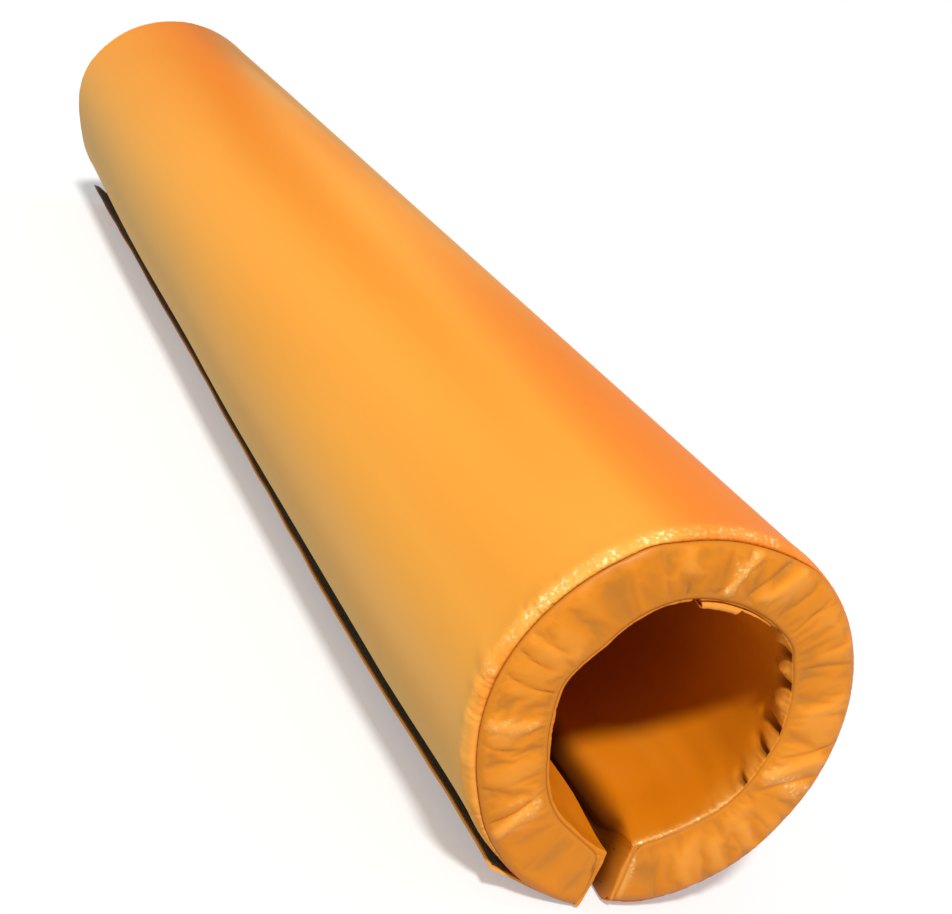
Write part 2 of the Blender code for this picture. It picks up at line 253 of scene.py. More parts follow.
def wallSection(u, depth, end):
    # a point on the wall of the hollow, and the direction from it into the hollow
    section = sectionAt(depth, end)
    a, b, c, d = hollow["stations"]
    if b <= u <= c:
        turn = mix(section[-1][5], section[1][5], (u - b) / (c - b))
        radius = liningProfile(turn, depth, end)
        s, k = sineCosine(turn)
        return (-radius * s, tube["axisHeight"] - radius * k), (s, k)
    side = -1 if u < b else 1
    low, _, bend, x, z, turn, bottom, under = section[side]
    level = 0.0 if side < 0 else pi + under
    share = u / a if side < 0 else (1 - u) / (1 - d)
    if share <= 1:
        topX, topZ = x + bend * cos(level), z + bend * sin(level)
        ease = share * (2 - share) if side < 0 else share * share
        return (mix(low, topX, ease), mix(bottom, topZ, share)), (-side, 0.0)
    toAxis = atan2(tube["axisHeight"] - z, -x)
    angle = mix(level, toAxis, (u - a) / (b - a) if side < 0 else (d - u) / (d - c))
    k, s = cos(angle), sin(angle)
    return (x + bend * k, z + bend * s), (k, s)


# Where the lining and the lips come out over the rim to their seam with the cap.
rimCut = {"roll": 0.0015, "strip": 0.0030, "lift": 0.0021, "dip": 0.0006, "dipWidth": 0.0008, "clearOfSeam": 0.0016}


def stripWidth(u, end):
    # from the edge of the rim to the seam with the cap; wider at the folded corner of the left lip
    corner = 0.0030 * bump(u, 0.077, 0.016) + 0.0012 * bump(u, 0.0, 0.02)
    narrow = 0.0012 * fade(abs(u - 0.64), 0.10, 0.20)
    return rimCut["strip"] - narrow + (corner if end < 0 else 0.4 * corner) + 0.0003 * ripple(u * 30, 0, 15)


cornerFan = {"reach": 0.011, "startX": -0.018, "startZ": 0.034, "startTurn": 10.0}


@cache
def fanCentre(end):
    # the fabric leaves the left lip's corner in a fan, with its middle equally far from the lip's face and the bore
    reach = cornerFan["reach"]
    low, _, bend, x, z, corner, bottom, _ = sectionAt(0.0, end)[-1]
    middleX, middleZ, turn = cornerFan["startX"], cornerFan["startZ"], cornerFan["startTurn"]
    for _ in range(6):
        share = clamp((middleZ - bottom) / (z - bottom))
        middleX = mix(low, x + bend, share * (2 - share)) - reach
        radius = rimRadius(turn, end) + reach
        turn = degrees(asin(-middleX / radius))
        middleZ = tube["axisHeight"] - radius * cos(radians(turn))
    a, b, c, _ = hollow["stations"]
    last = b + (c - b) * (turn - corner) / (sectionAt(0.0, end)[1][5] - corner)
    return middleX, middleZ, a * share, last


def rimWay(u, end):
    # a point on the rim, and the direction from its seam towards it
    (x, z), (nx, nz) = wallSection(u, 0.0, end)
    middleX, middleZ, first, last = fanCentre(end)
    if first < u < last:
        reach = hypot(x - middleX, z - middleZ)
        nx, nz = (x - middleX) / reach, (z - middleZ) / reach
    return (x, z), (nx, nz)


def wallSpot(u, row, end):
    # row runs from -1, at the seam with the cap, to 0, past the rim; from there it is the depth in metres
    roll = rimCut["roll"]
    flat = stripWidth(u, end) - roll
    if row < 0:
        way = (1 + row) * (flat + roll * pi / 2)
        (x, z), (nx, nz) = rimWay(u, end)
        over = clamp((way - flat) / roll, 0, pi / 2)
        back = roll * (1 - sin(over)) + max(flat - way, 0)
        y = end * (farFace + rimCut["lift"] - roll * (1 - cos(over)) - rimCut["dip"] * bump(way, 0, rimCut["dipWidth"]))
        normal = Vector((nx * sin(over), end * cos(over), nz * sin(over)))
        return Vector((x - nx * back, y, z - nz * back)), normal, way
    depth = row + roll - rimCut["lift"]
    (x, z), (nx, nz) = wallSection(u, max(depth, 0), end)
    return Vector((x, end * (farFace - depth), z)), Vector((nx, 0, nz)), flat + roll * pi / 2 + row


print("shape of the pad set")


def paint(code, alpha=1.0):
    # an sRGB hex colour as linear light
    parts = [int(code[k:k + 2], 16) / 255 for k in (1, 3, 5)]
    return [c / 12.92 if c <= 0.04045 else ((c + 0.055) / 1.055) ** 2.4 for c in parts] + [alpha]


def addNode(tree, kind, settings=None, links=None):
    # a link comes from the output given, or from the first output of the node given
    node = tree.nodes.new("ShaderNode" + kind)
    for key, value in (settings or {}).items():
        if isinstance(key, int) or key in node.inputs:
            node.inputs[key].default_value = value
        else:
            setattr(node, key, value)
    for key, source in (links or {}).items():
        tree.links.new(source.outputs[0] if isinstance(source, bpy.types.Node) else source, node.inputs[key])
    return node


def newMaterial(name):
    made = bpy.data.materials.new(name)
    made.use_nodes = True
    made.node_tree.nodes.clear()
    return made, made.node_tree


def colourSteps(node, steps):
    ramp = node.color_ramp
    while len(ramp.elements) < len(steps):
        ramp.elements.new(0.5)
    for element, (place, code) in zip(ramp.elements, steps):
        element.position = place
        element.color = paint(code)


coatedFabric = {
    # base and deep make the slow change of tone; the warm and rich colours are how the stretched fabric varies;
    # the bright colour is a lighter tone and painted highlight, the worn one is wear on the edges and painted highlight
    # on the crests, and the dull one is painted shade in the hollows and, on the skin, painted floor reflection
    "skin": {"base": "#DD871E", "deep": "#D9821A", "paleToneAndHighlight": "#FFB045", "warm": "#F0842A", "rich": "#E27A00",
             "wearAndHighlight": "#FFC268", "paintedShadeAndReflection": "#DCB05C", "roughness": 0.46, "specular": 0.025},
    "cap": {"base": "#DD851E", "deep": "#D37C18", "paleToneAndHighlight": "#F4992E", "warm": "#E8862A", "rich": "#DD7A00",
            "wearAndHighlight": "#F2B25C", "paintedShadeAndReflection": "#B3742C", "roughness": 0.40, "specular": 0.14},
    # the lining is the same coated fabric, its colours darkened with painted shade as inside the bore
    "lining": {"base": "#DA7E10", "deep": "#D2760B", "paleToneAndHighlight": "#E08C2A", "warm": "#D0680A", "rich": "#D26A00",
               "wearAndHighlight": "#EDA046", "paintedShadeAndReflection": "#A0560C", "roughness": 0.42, "specular": 0.12},
    # painted glints: a pale colour laid where the creased coating would catch the light
    "paintedGlint": "#FFE9A2",      # where the creased coating glints
    "paintedShade": "#5E2C06",       # painted shade in the seams, in the gathers' hollows, in a hole by the fold and deep in the slit
    "paintedGlintSize": 0.0027,
    "yarnPitch": 0.0014,     # the real yarns are about 0.9 mm apart, drawn wider to show at all
    "grainSize": 0.0022,
    "crinkleSize": 0.0042,   # creases that the seams press into the coating
    "mottle": {"Scale": 7.0, "Detail": 3.0, "Roughness": 0.5},     # patches about 14 cm across
}
# kept on each point of the fabric; the first five are colours that are laid on in this order
fabricMarks = ("paleToneAndHighlight", "warm", "rich", "paintedShadeAndReflection", "wearAndHighlight", "crinkle", "paintedShade", "paintedGlint")


def makeCoatedFabric(name, look):
    # PVC-coated polyester, calendered: a satin plastic face that lets the woven base show faintly through
    cut = coatedFabric
    made, tree = newMaterial(name)
    place = addNode(tree, "TexCoord")
    flat, solid = {"Vector": place.outputs["UV"]}, {"Vector": place.outputs["Object"]}
    marks = {key: addNode(tree, "Attribute", {"attribute_name": key}).outputs["Fac"] for key in fabricMarks}
    tone = addNode(tree, "ValToRGB", None, {"Fac": addNode(tree, "TexNoise", cut["mottle"], solid)})
    colourSteps(tone, [(0.35, look["deep"]), (0.65, look["base"])])
    # painted glints: pale specks where the glint mark is laid, standing in for light caught by creases
    specks = addNode(tree, "TexNoise", {"Scale": 1 / cut["paintedGlintSize"], "Detail": 1.0}, solid)
    specks = addNode(tree, "MapRange", {"From Min": 0.54, "From Max": 0.68, "To Min": 0.15}, {"Value": specks})
    paintedGlintShare = addNode(tree, "Math", {"operation": "MULTIPLY"}, {0: specks, 1: marks["paintedGlint"]})
    layers = [(look[key], marks[key]) for key in fabricMarks[:5]]
    colour = tone
    for code, share in layers + [(cut["paintedShade"], marks["paintedShade"]), (cut["paintedGlint"], paintedGlintShare)]:
        colour = addNode(tree, "MixRGB", {"blend_type": "MIX", "Color2": paint(code)}, {"Fac": share, "Color1": colour})
    # the woven base under the coating, the coating's grain, and the creases by the seams
    pitch = 2 * pi / cut["yarnPitch"] / 20
    waves = [addNode(tree, "TexWave", {"bands_direction": way, "Scale": pitch, "Distortion": 0.4}, flat)
             for way in "XY"]
    yarns = addNode(tree, "Math", {"operation": "MULTIPLY"}, {k: wave.outputs["Fac"] for k, wave in enumerate(waves)})
    grain = addNode(tree, "TexNoise", {"Scale": 1 / cut["grainSize"], "Detail": 2.0}, solid)
    creased = addNode(tree, "TexNoise", {"Scale": 1 / cut["crinkleSize"], "Detail": 2.0, "Distortion": 0.6}, solid)
    crinkle = addNode(tree, "Math", {"operation": "MULTIPLY"}, {0: creased, 1: marks["crinkle"]})
    weave = addNode(tree, "Bump", {"Strength": 0.10, "Distance": 0.0002}, {"Height": yarns})
    skin = addNode(tree, "Bump", {"Strength": 0.10, "Distance": 0.0004}, {"Height": grain, "Normal": weave})
    pressedIn = addNode(tree, "Bump", {"Strength": 1.0, "Distance": 0.0012}, {"Height": crinkle, "Normal": skin})
    satin = addNode(tree, "Math", {"operation": "MULTIPLY_ADD", 1: -0.14, 2: look["roughness"]}, {0: marks["crinkle"]})
    shader = addNode(tree, "BsdfPrincipled", {"IOR": 1.5, "Specular IOR Level": look["specular"]},
                     {"Base Color": colour, "Roughness": satin, "Normal": pressedIn})
    addNode(tree, "OutputMaterial", None, {"Surface": shader})
    return made


def makePlain(name, look, tuftSize=None):
    # one grain gives the tone and the relief, and a pile has tufts as well
    made, tree = newMaterial(name)
    place = addNode(tree, "TexCoord")
    grain = addNode(tree, look["grain"], look["fineness"], {"Vector": place.outputs["Object"]})
    tone = addNode(tree, "ValToRGB", None, {"Fac": grain})
    colourSteps(tone, look["colours"])
    if tuftSize:
        tufts = addNode(tree, "TexVoronoi", {"Scale": 1 / tuftSize, "Randomness": 0.5}, {"Vector": place.outputs["UV"]})
        grain = addNode(tree, "Math", {"operation": "ADD"}, {0: tufts, 1: grain})
    lift = addNode(tree, "Bump", look["relief"], {"Height": grain})
    shader = addNode(tree, "BsdfPrincipled", look["shine"], {"Base Color": tone, "Normal": lift})
    addNode(tree, "OutputMaterial", None, {"Surface": shader})
    return made


# woven nylon hook-and-loop tape: a dull, nearly black pile that drinks the light, with a tight selvedge
tapeLook = {
    "grain": "TexNoise", "fineness": {"Scale": 1400.0, "Detail": 3.0},      # tangled fibres, 0.7 mm apart
    "colours": [(0.35, "#0E0B09"), (0.72, "#2A221C")],
    "relief": {"Strength": 0.8, "Distance": 0.0006},
    "shine": {"IOR": 1.53, "Roughness": 0.85, "Sheen Weight": 0.2, "Sheen Roughness": 0.4},
}
# bonded polyester thread: hard, slightly waxy, darker than the fabric it sinks into
threadLook = {
    "grain": "TexNoise", "fineness": {"Scale": 900.0, "Detail": 2.0},       # its twist, about every 1.1 mm
    "colours": [(0.3, "#5A2806"), (0.7, "#8A4812")],
    "relief": {"Strength": 0.4, "Distance": 0.0002},
    "shine": {"IOR": 1.55, "Roughness": 0.6},
}
# closed-cell polyethylene foam: matt cream with fine cells
foamLook = {
    "grain": "TexVoronoi", "fineness": {"Scale": 700.0},      # cells 1.4 mm across
    "colours": [(0.0, "#D8CDB0"), (0.6, "#EFE6CC")],
    "relief": {"Strength": 0.4, "Distance": 0.0005},
    "shine": {"IOR": 1.5, "Roughness": 0.9},
}
skinFabric = makeCoatedFabric("PVC-coated polyester, calendered, stretched", coatedFabric["skin"])
capFabric = makeCoatedFabric("PVC-coated polyester, calendered, gathered", coatedFabric["cap"])
liningFabric = makeCoatedFabric("PVC-coated polyester, calendered, shaded", coatedFabric["lining"])
hookPile = makePlain("woven nylon hook tape", tapeLook, 0.0016)
loopPile = makePlain("woven nylon loop tape", tapeLook, 0.0009)
sewingThread = makePlain("bonded polyester thread", threadLook)
paddingFoam = makePlain("closed-cell PE foam", foamLook)
print("materials made")


def addObject(name, data):
    holder = bpy.data.objects.new(name, data)
    bpy.context.collection.objects.link(holder)
    return holder


def pick(piece):
    bpy.ops.object.select_all(action="DESELECT")
    piece.select_set(True)
    bpy.context.view_layer.objects.active = piece


def editing(on):
    bpy.ops.object.mode_set(mode="EDIT" if on else "OBJECT")


def cutFabric(name, width, length, columns, rows):
    # a flat piece of fabric at its cut size
    bpy.ops.object.select_all(action="DESELECT")
    bpy.ops.mesh.primitive_grid_add(x_subdivisions=columns, y_subdivisions=rows, size=1)
    piece = bpy.context.active_object
    piece.name = piece.data.name = name
    editing(True)
    bpy.ops.transform.resize(value=(width, length, 1))
    editing(False)
    return piece


def wrapFabric(piece, width, length, place, flip=False):
    # place(share across, share along) gives the point, the flat place in metres, and the fabric's marks
    mesh = piece.data
    spots = [place(v.co.x / width + 0.5, v.co.y / length + 0.5) for v in mesh.vertices]
    layer = mesh.uv_layers.active.data
    for loop in mesh.loops:
        layer[loop.index].uv = spots[loop.vertex_index][1]
    setMarks(mesh, [spot[2] for spot in spots])
    for vertex, spot in zip(mesh.vertices, spots):
        vertex.co = spot[0]
    if flip:
        mesh.flip_normals()
    mesh.shade_smooth()


def declare(piece, material, slot, nodes, body):
    piece.data.materials.append(material)
    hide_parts(*nodes)
    if body:
        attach(piece, body)


def finishFabric(piece, thickness, fabric, slot, nodes, body="root"):
    # the cut face stays where it is, and the cloth's thickness goes behind it
    pick(piece)
    backing = piece.modifiers.new("thickness", "SOLIDIFY")
    backing.thickness = thickness
    backing.offset = -1
    bpy.ops.object.modifier_apply(modifier=backing.name)
    bpy.ops.object.shade_smooth_by_angle(angle=radians(50))
    declare(piece, fabric, slot, nodes, body)


clothRun = {
    "frames": 18,
    "farthest": 0.0012,
    "cloth": {
        "quality": 6,
        "mass": 0.05,
        "tension_stiffness": 18.0,
        "compression_stiffness": 18.0,
        "shear_stiffness": 6.0,
        "bending_stiffness": 1.0,
        "vertex_group_mass": "held",
        # how much larger the fabric is than its place, where it is calm and where it is gathered
        "vertex_group_shrink": "calm",
        "shrink_max": 0.0,
        "shrink_min": -0.018,
        "use_pressure": True,
        "uniform_pressure_force": 0.3,     # the foam behind pushes it out
    },
}


def settleCloth(piece, held, calm):
    # held at its seams, the gathered fabric finds its own folds between them; gives how far each point moved
    start = [vertex.co.copy() for vertex in piece.data.vertices]
    for name, shares in (("held", held), ("calm", calm)):
        group = piece.vertex_groups.new(name=name)
        for number, share in enumerate(shares):
            group.add([number], share, "REPLACE")
    pick(piece)
    modifier = piece.modifiers.new("cloth", "CLOTH")
    for key, value in clothRun["cloth"].items():
        setattr(modifier.settings, key, value)
    modifier.settings.effector_weights.gravity = 0
    modifier.collision_settings.use_collision = False
    modifier.point_cache.frame_end = clothRun["frames"]
    for moment in range(1, clothRun["frames"] + 1):
        bpy.context.scene.frame_set(moment)
    bpy.ops.object.modifier_apply(modifier=modifier.name)
    bpy.context.scene.frame_set(1)
    piece.vertex_groups.clear()
    for vertex, before in zip(piece.data.vertices, start):
        moved = vertex.co - before
        vertex.co = before + moved * min(1, clothRun["farthest"] / max(moved.length, 1e-9))
    return [vertex.co - before for vertex, before in zip(piece.data.vertices, start)]


def setMarks(mesh, marks):
    for key in fabricMarks:
        attribute = mesh.attributes.get(key) or mesh.attributes.new(key, "FLOAT", "POINT")
        attribute.data.foreach_set("value", [clamp(mark.get(key, 0.0)) for mark in marks])


def subdivideEnd(piece, length, rows, first, last):
    # finer fabric where the near seam gathers it
    pick(piece)
    editing(True)
    bpy.ops.mesh.select_all(action="DESELECT")
    editing(False)
    for face in piece.data.polygons:
        face.select = first < (face.center.y / length + 0.5) * rows < last
    editing(True)
    bpy.ops.mesh.select_mode(type="FACE")
    bpy.ops.mesh.subdivide(number_cuts=1)
    editing(False)


def rowPlace(rings, share):
    # the rings are spaced unevenly, and share counts along them evenly
    at = share * (len(rings) - 1)
    i = min(int(at), len(rings) - 2)
    return mix(rings[i], rings[i + 1], at - i)


outerSkinCut = {
    "columns": 400,
    "tuck": 0.0020,          # turned in behind the edge of the cap
    "shoulderArc": 0.0130,
    "shoulderRings": [0.0010, 0.0022, 0.0036, 0.0052, 0.0070, 0.0090, 0.0110, 0.0130],
    "bandRings": [0.0152, 0.0176, 0.0202, 0.0232, 0.0265, 0.0300],
    "spreadRings": [0.034, 0.039, 0.045, 0.053, 0.063, 0.076, 0.093, 0.115, 0.143],
    "middleRows": 26,
    "finerRows": (2, 15),    # the rows behind the near seam that are cut finer
    "puckerPitch": 0.0038,
    "puckerHeight": 0.00062,
    "edgeRoll": 0.0012,
    # long pulls that run back from the near seam: turn, length, height, width
    "pulls": [(141, 0.030, 0.0008, 2.4), (122, 0.026, 0.0006, 2.0), (100, 0.034, 0.0011, 2.6), (93, 0.028, 0.0008, 2.2),
              (84, 0.022, 0.0006, 2.0), (72, 0.026, 0.0008, 2.4), (58, 0.020, 0.0006, 2.2)],
    # painted highlights, where the coating takes the light: turns of the two bright bands at places along the tube
    "bandNear": [(-0.75, 142), (-0.4, 130), (-0.1, 120), (0.3, 116), (0.75, 112)],
    "bandTop": [(-0.75, 152), (-0.4, 160), (-0.1, 165), (0.3, 175), (0.75, 178)],
    # the turn of the deeper orange band at places along the tube, and how deep it is there
    "bandRich": [(-0.35, 149), (-0.1, 149), (0.15, 151), (0.4, 161), (0.6, 169), (0.75, 173)],
    "richness": [(-0.75, 0.1), (-0.6, 0.25), (-0.35, 0.25), (-0.1, 0.35), (0.15, 0.5), (0.4, 0.85), (0.75, 1)],
    # where painted glints go on the crest of the near shoulder
    "paintedGlintShare": [(95, 0), (100, 0.6), (104, 0.3), (110, 0.6), (118, 0.9), (124, 1), (134, 0.7), (141, 0.9), (152, 1),
               (160, 0.9), (167, 0.5), (174, 0.9), (181, 0.7), (196, 0.4), (208, 0.1), (216, 0)],
}


def skinRings():
    cut = outerSkinCut
    total = 2 * cut["shoulderArc"] + tube["length"] - 2 * (tube["seamBehindFace"] + tube["shoulderLength"])
    near = [-cut["tuck"], -0.0004, 0.0] + cut["shoulderRings"] + cut["bandRings"] + cut["spreadRings"]
    middle = spaced(near[-1], total - near[-1], cut["middleRows"])[1:-1]
    return near + middle + [total - w for w in reversed(near)], total


def pucker(turn, way, end):
    # fabric drawn up by the seam: crests with sharp valleys that run back over the shoulder and die out
    cut = outerSkinCut
    arc = radians(turn) * tube["outer"] / cut["puckerPitch"]
    seed = 11 if end < 0 else 23
    reach = 0.008 + 0.006 * ripple(arc / 5, 0, seed + 1)
    strength = bump(way, 0.0045, reach) * clamp(way / 0.0012)
    lively = clamp(0.75 + 1.3 * ripple(arc / 9, 0, seed + 3), 0.25, 1.5)
    lively *= mix(0.35, 1.0, fade(turn, 195, 240)) if turn < 270 else 0.35
    lean = arc + 60 * way * ripple(arc / 3, 0, seed + 4)
    ridge = 0.55 - 2.2 * abs(ripple(lean, way * 60, seed)) + 0.5 * ripple(lean * 2.3, way * 150, seed + 2)
    height = cut["puckerHeight"] * lively * strength * ridge
    if end < 0:
        for at, length, tall, wide in cut["pulls"]:
            if abs(turn - at) < 3 * wide and way < length:
                leaning = at + 60 * (way - 0.01)
                height += tall * bump(turn, leaning, wide) * fade(way, 0.3 * length, length) * clamp(way / 0.004)
    return height


def skinTone(turn, y):
    # painted highlight makes the skin yellower along two bands, and it is deeper orange along one; painted floor
    # reflection makes it paler and duller low on the left, and painted shade darkens its right side towards the far end
    cut = outerSkinCut
    far = clamp((y + 0.1) / 0.6)
    # painted highlight: the lighter colour along the two bands and low on the left
    paleToneAndHighlight = 0.42 + 0.5 * bump(turn, throughPoints(cut["bandNear"], y), 24) * mix(1.0, 0.5, clamp((y - 0.2) / 0.5))
    paleToneAndHighlight += 0.45 * bump(turn, 98, 18) * fade(y, -0.55, -0.15)
    paleToneAndHighlight += 0.3 * bump(turn, throughPoints(cut["bandTop"], y), 9)
    paleToneAndHighlight += 0.35 * fade(turn, 85, 120)
    paleToneAndHighlight *= 1 - 0.85 * far * bump(turn, 168, 28)
    warm = 0.85 * fade(y, -0.60, -0.10) * (1 - fade(turn, 148, 178)) + 0.15 * (1 - fade(turn, 96, 125))
    shift = mix(0, 16, clamp((y + 0.6) / 0.9))
    # painted floor reflection: paler and duller low on the left, and paler on the right towards the far end
    paintedShadeAndReflection = 0.95 * fade(turn, 50 + shift, 103 + shift) * (1 - 0.85 * fade(turn, 16, 34))
    paintedShadeAndReflection += 0.35 * (1 - fade(turn, 182, 194)) * clamp((y + 0.4) / 0.6)
    paintedShadeAndReflection *= 1 - 0.6 * bump(turn, 82, 13) * fade(y, -0.68, -0.45)
    paintedShadeAndReflection += 0.15 * far * bump(turn, 105, 18) + 0.4 * bump(turn, 183, 8) * bump(y, 0.42, 0.16)
    rich = throughPoints(cut["richness"], y)
    rich *= bump(turn, throughPoints(cut["bandRich"], y), mix(12, 20, clamp((y - 0.3) / 0.4)))
    rich += 0.5 * bump(turn, 184, 12) * bump(y, -0.42, 0.2) + 0.3 * bump(turn, 182, 9) * bump(y, 0.15, 0.15)
    # painted highlight: a pale streak low on the left towards the near end
    wearAndHighlight = mix(0.75, 0.32, clamp((y + 0.6) / 0.5)) * bump(turn, 78, 12) * (1 - far)
    # painted shade: darker on the right side, the more towards the far end
    paintedShade = 0.20 * (1 - fade(turn, 183, 193)) * clamp((y + 0.5) / 0.7)
    paintedShade += far * (0.05 * bump(turn, 118, 22) + 0.30 * bump(turn, 184, 15) * clamp((y - 0.2) / 0.4))
    return {"paleToneAndHighlight": paleToneAndHighlight, "warm": warm, "rich": rich, "paintedShadeAndReflection": paintedShadeAndReflection, "paintedShade": paintedShade, "wearAndHighlight": wearAndHighlight}


def makeOuterSkin():
    cut = outerSkinCut
    rings, total = skinRings()
    width = 2 * pi * tube["outer"] - sum(tube["coverEdge"])
    rows = len(rings) - 1
    skin = cutFabric("outerSkin", width, total, cut["columns"], rows)
    subdivideEnd(skin, total, rows, *cut["finerRows"])

    def place(across, along):
        way = rowPlace(rings, along)
        end = -1 if way < total / 2 else 1
        fromSeam = min(way, total - way)
        phi = clamp(fromSeam / cut["shoulderArc"]) * pi / 2
        back = tube["shoulderLength"] * (1 - cos(phi)) + max(fromSeam - cut["shoulderArc"], 0)
        y = end * (farFace - tube["seamBehindFace"] - back)
        turn = turnAt(across, tube["outer"], tube["coverEdge"])
        full = skinRadius(turn, y)
        drop = full - seamRadius(turn, end)
        swell = 0.0004 * bump(fromSeam, 0.012, 0.008)
        rise = pucker(turn, fromSeam, end) if 0 < fromSeam < 0.06 else 0.0
        radius = full - drop * (1 - sin(phi)) + swell + rise * sin(phi)
        if fromSeam < 0:
            radius += fromSeam
            y -= end * 0.0006 * clamp(-fromSeam / cut["tuck"])
        else:
            y += end * (cut["edgeRoll"] * sin(pi * clamp(fromSeam / 0.008)) + rise * cos(phi))
        turn = turnAt(across, radius, tube["coverEdge"])
        marks = skinTone(turn, y)
        lively = 0.10 + 0.65 * (1 - fade(turn, 80, 105)) * fade(turn, 195, 220)
        marks["crinkle"] = bump(fromSeam, 0.005, 0.007) * lively + 0.02
        # a little painted highlight where the coating is creased
        marks["wearAndHighlight"] += 0.1 * marks["crinkle"]
        # painted shade in the seam's groove
        marks["paintedShade"] += 0.28 * bump(fromSeam, 0, 0.0008)
        if end < 0 and fromSeam < 0.03:
            for key in ("wearAndHighlight", "paintedShadeAndReflection"):
                marks[key] *= 1 - 0.8 * bump(fromSeam, 0.003, 0.010)
            marks["warm"] += (0.45 + 0.4 * bump(turn, 98, 9)) * bump(fromSeam, 0.003, 0.0055) * fade(turn, 106, 118)
            patchy = clamp(0.8 + 1.4 * ripple(turn / 5, 0, 111), 0.1, 1.2)
            # painted glints on the crest of the near shoulder
            marks["paintedGlint"] = throughPoints(cut["paintedGlintShare"], turn) * bump(fromSeam, 0.0066, 0.0030) * patchy
        return roundTube(turn, radius, y), (across * width, way), marks

    wrapFabric(skin, width, total, place)
    finishFabric(skin, tube["fabric"], skinFabric, "cover_fabric", ["outer_skin"])


makeOuterSkin()
print("outer skin wrapped")


capCut = {
    "columns": {-1: 620, 1: 420},
    "seeds": {-1: 31, 1: 47},
    # shares of the way from the outer seam to the rim's seam
    "rings": [0, 0.008, 0.018, 0.032, 0.05, 0.07, 0.092, 0.116, 0.142, 0.17, 0.2, 0.235, 0.27, 0.31, 0.35, 0.39, 0.43,
              0.47, 0.51, 0.55, 0.59, 0.63, 0.67, 0.71, 0.75, 0.79, 0.825, 0.86, 0.89, 0.915, 0.938, 0.956, 0.971,
              0.983, 0.992, 1],
    "width": 0.0400,         # from seam to seam, as cut
    "edgeDrop": 0.0016,
    "pleatHeight": 0.0009,
    "crown": 0.0009,
    # the turn at the outer seam that belongs to each share of the way round the hollow, beside the slit
    "fanLeft": [(0, 6.6), (0.037, 8.2), (0.072, 10.0), (0.095, 15.2), (0.120, 23.6)],
    "fanRight": [(0.882, 342.6), (0.906, 347.5), (0.950, 350.5), (1, 355.0)],
    # how lively the near cap's folds are, by the turn
    "gathered": [(0, 0.1), (38, 0.2), (50, 0.7), (62, 0.6), (75, 0.9), (118, 0.9), (128, 0.3), (150, 0.25), (162, 0.6),
                 (175, 0.5), (190, 0.9), (212, 0.8), (225, 0.6), (262, 0.8), (300, 0.8), (326, 0.6), (342, 0.3),
                 (360, 0.1)],
    # folds of the near cap that get painted glints: strength, turn, width in degrees
    "paintedGlintShare": [(0.5, 181, 4), (0.3, 51, 4), (0.35, 286, 4), (0.2, 86, 3)],
}
# the near cap's creases: turn and radius at the outer end and at the inner end, height and width, lengths in mm;
# a height below zero is a valley
nearCreases = [
    (164, 101, 163, 86, -1.5, 2.2), (165, 126, 164, 106, 0.9, 4.0), (155, 125, 157, 106, -0.8, 5.0),
    (187, 126, 179, 91, 1.9, 3.0), (184, 124, 175, 89, -1.6, 3.2), (199, 128, 189, 92, -1.9, 3.0),
    (204, 130, 194, 93, 1.5, 3.4), (221, 132, 217, 106, -1.0, 3.2), (243, 130, 237, 92, -1.1, 4.0),
    (234, 131, 233, 100, 0.9, 4.5), (268, 128, 278, 89, -1.2, 4.0), (275, 122, 290, 86, 1.6, 3.2),
    (281, 122, 295, 90, -1.5, 3.0), (303, 130, 303, 97, -0.9, 3.0), (308, 130, 308, 100, 0.7, 3.0),
    (313, 131, 313, 101, -0.9, 3.0), (320, 133, 320, 96, 0.8, 3.4), (325, 131, 326, 100, -0.8, 3.0),
    (332, 128, 332, 92, 0.8, 3.4), (342, 128, 342, 96, -0.8, 4.0), (115, 127, 116, 97, -1.1, 3.4),
    (112, 127, 112, 98, 0.7, 3.4), (109, 126, 108, 97, -1.0, 3.0), (101, 123, 100, 88, -1.3, 3.2),
    (96, 122, 97, 90, 0.7, 4.0), (85, 124, 86, 88, 1.4, 3.2), (79, 122, 76, 99, -1.0, 3.6),
    (64, 123, 58, 105, -0.9, 3.4), (51, 122, 53, 92, -1.5, 2.8), (46, 126, 49, 94, 1.5, 3.0),
    (130, 126, 131, 100, 0.6, 5.0), (142, 126, 141, 104, -0.5, 5.0), (255, 128, 258, 95, 0.7, 5.0),
    (210, 128, 207, 94, -0.7, 4.0), (225, 127, 224, 95, 0.5, 5.0),
]


def creaseRise(turn, radius):
    u, v = (1000 * radius * part for part in sineCosine(turn))
    rise = 0.0
    for outerTurn, outerRadius, innerTurn, innerRadius, height, wide in nearCreases:
        if abs(turn - 0.5 * (outerTurn + innerTurn)) > 22:
            continue
        x0, y0 = (outerRadius * part for part in sineCosine(outerTurn))
        x1, y1 = (innerRadius * part for part in sineCosine(innerTurn))
        dx, dy = x1 - x0, y1 - y0
        long = hypot(dx, dy)
        t = ((u - x0) * dx + (v - y0) * dy) / long ** 2
        off = ((u - x0) * dy - (v - y0) * dx) / long
        bow = 1.8 * sin(pi * clamp(t)) * (1 if outerTurn % 2 else -1)
        ends = fade(-t, -0.16, 0.10) * fade(t, 0.80, 1.10)
        profile = bump(off, bow, 1.3 * wide) if height > 0 else exp(-abs(off - bow) / (0.75 * wide))
        rise += height * 0.001 * profile * ends
    return rise


def seamTurn(u):
    # the turn at the outer seam that faces this share of the way round the hollow
    left, right = capCut["fanLeft"], capCut["fanRight"]
    (start, first), (stop, last) = left[-1], right[0]
    if start < u < stop:
        return mix(first, last, (u - start) / (stop - start))
    return throughPoints(left if u <= start else right, u)


def rimEdge(u, end, inward=0.0):
    # the seam between the cap and the strip that comes over the rim
    (x, z), (nx, nz) = rimWay(u, end)
    back = stripWidth(u, end) - inward
    x, z = x - nx * back, z - nz * back
    turn, reach = aroundTube(x, z)
    most = seamRadius(turn, end) - rimCut["clearOfSeam"]
    if reach > most:
        x *= most / reach
        z = tube["axisHeight"] + (z - tube["axisHeight"]) * most / reach
    return x, z


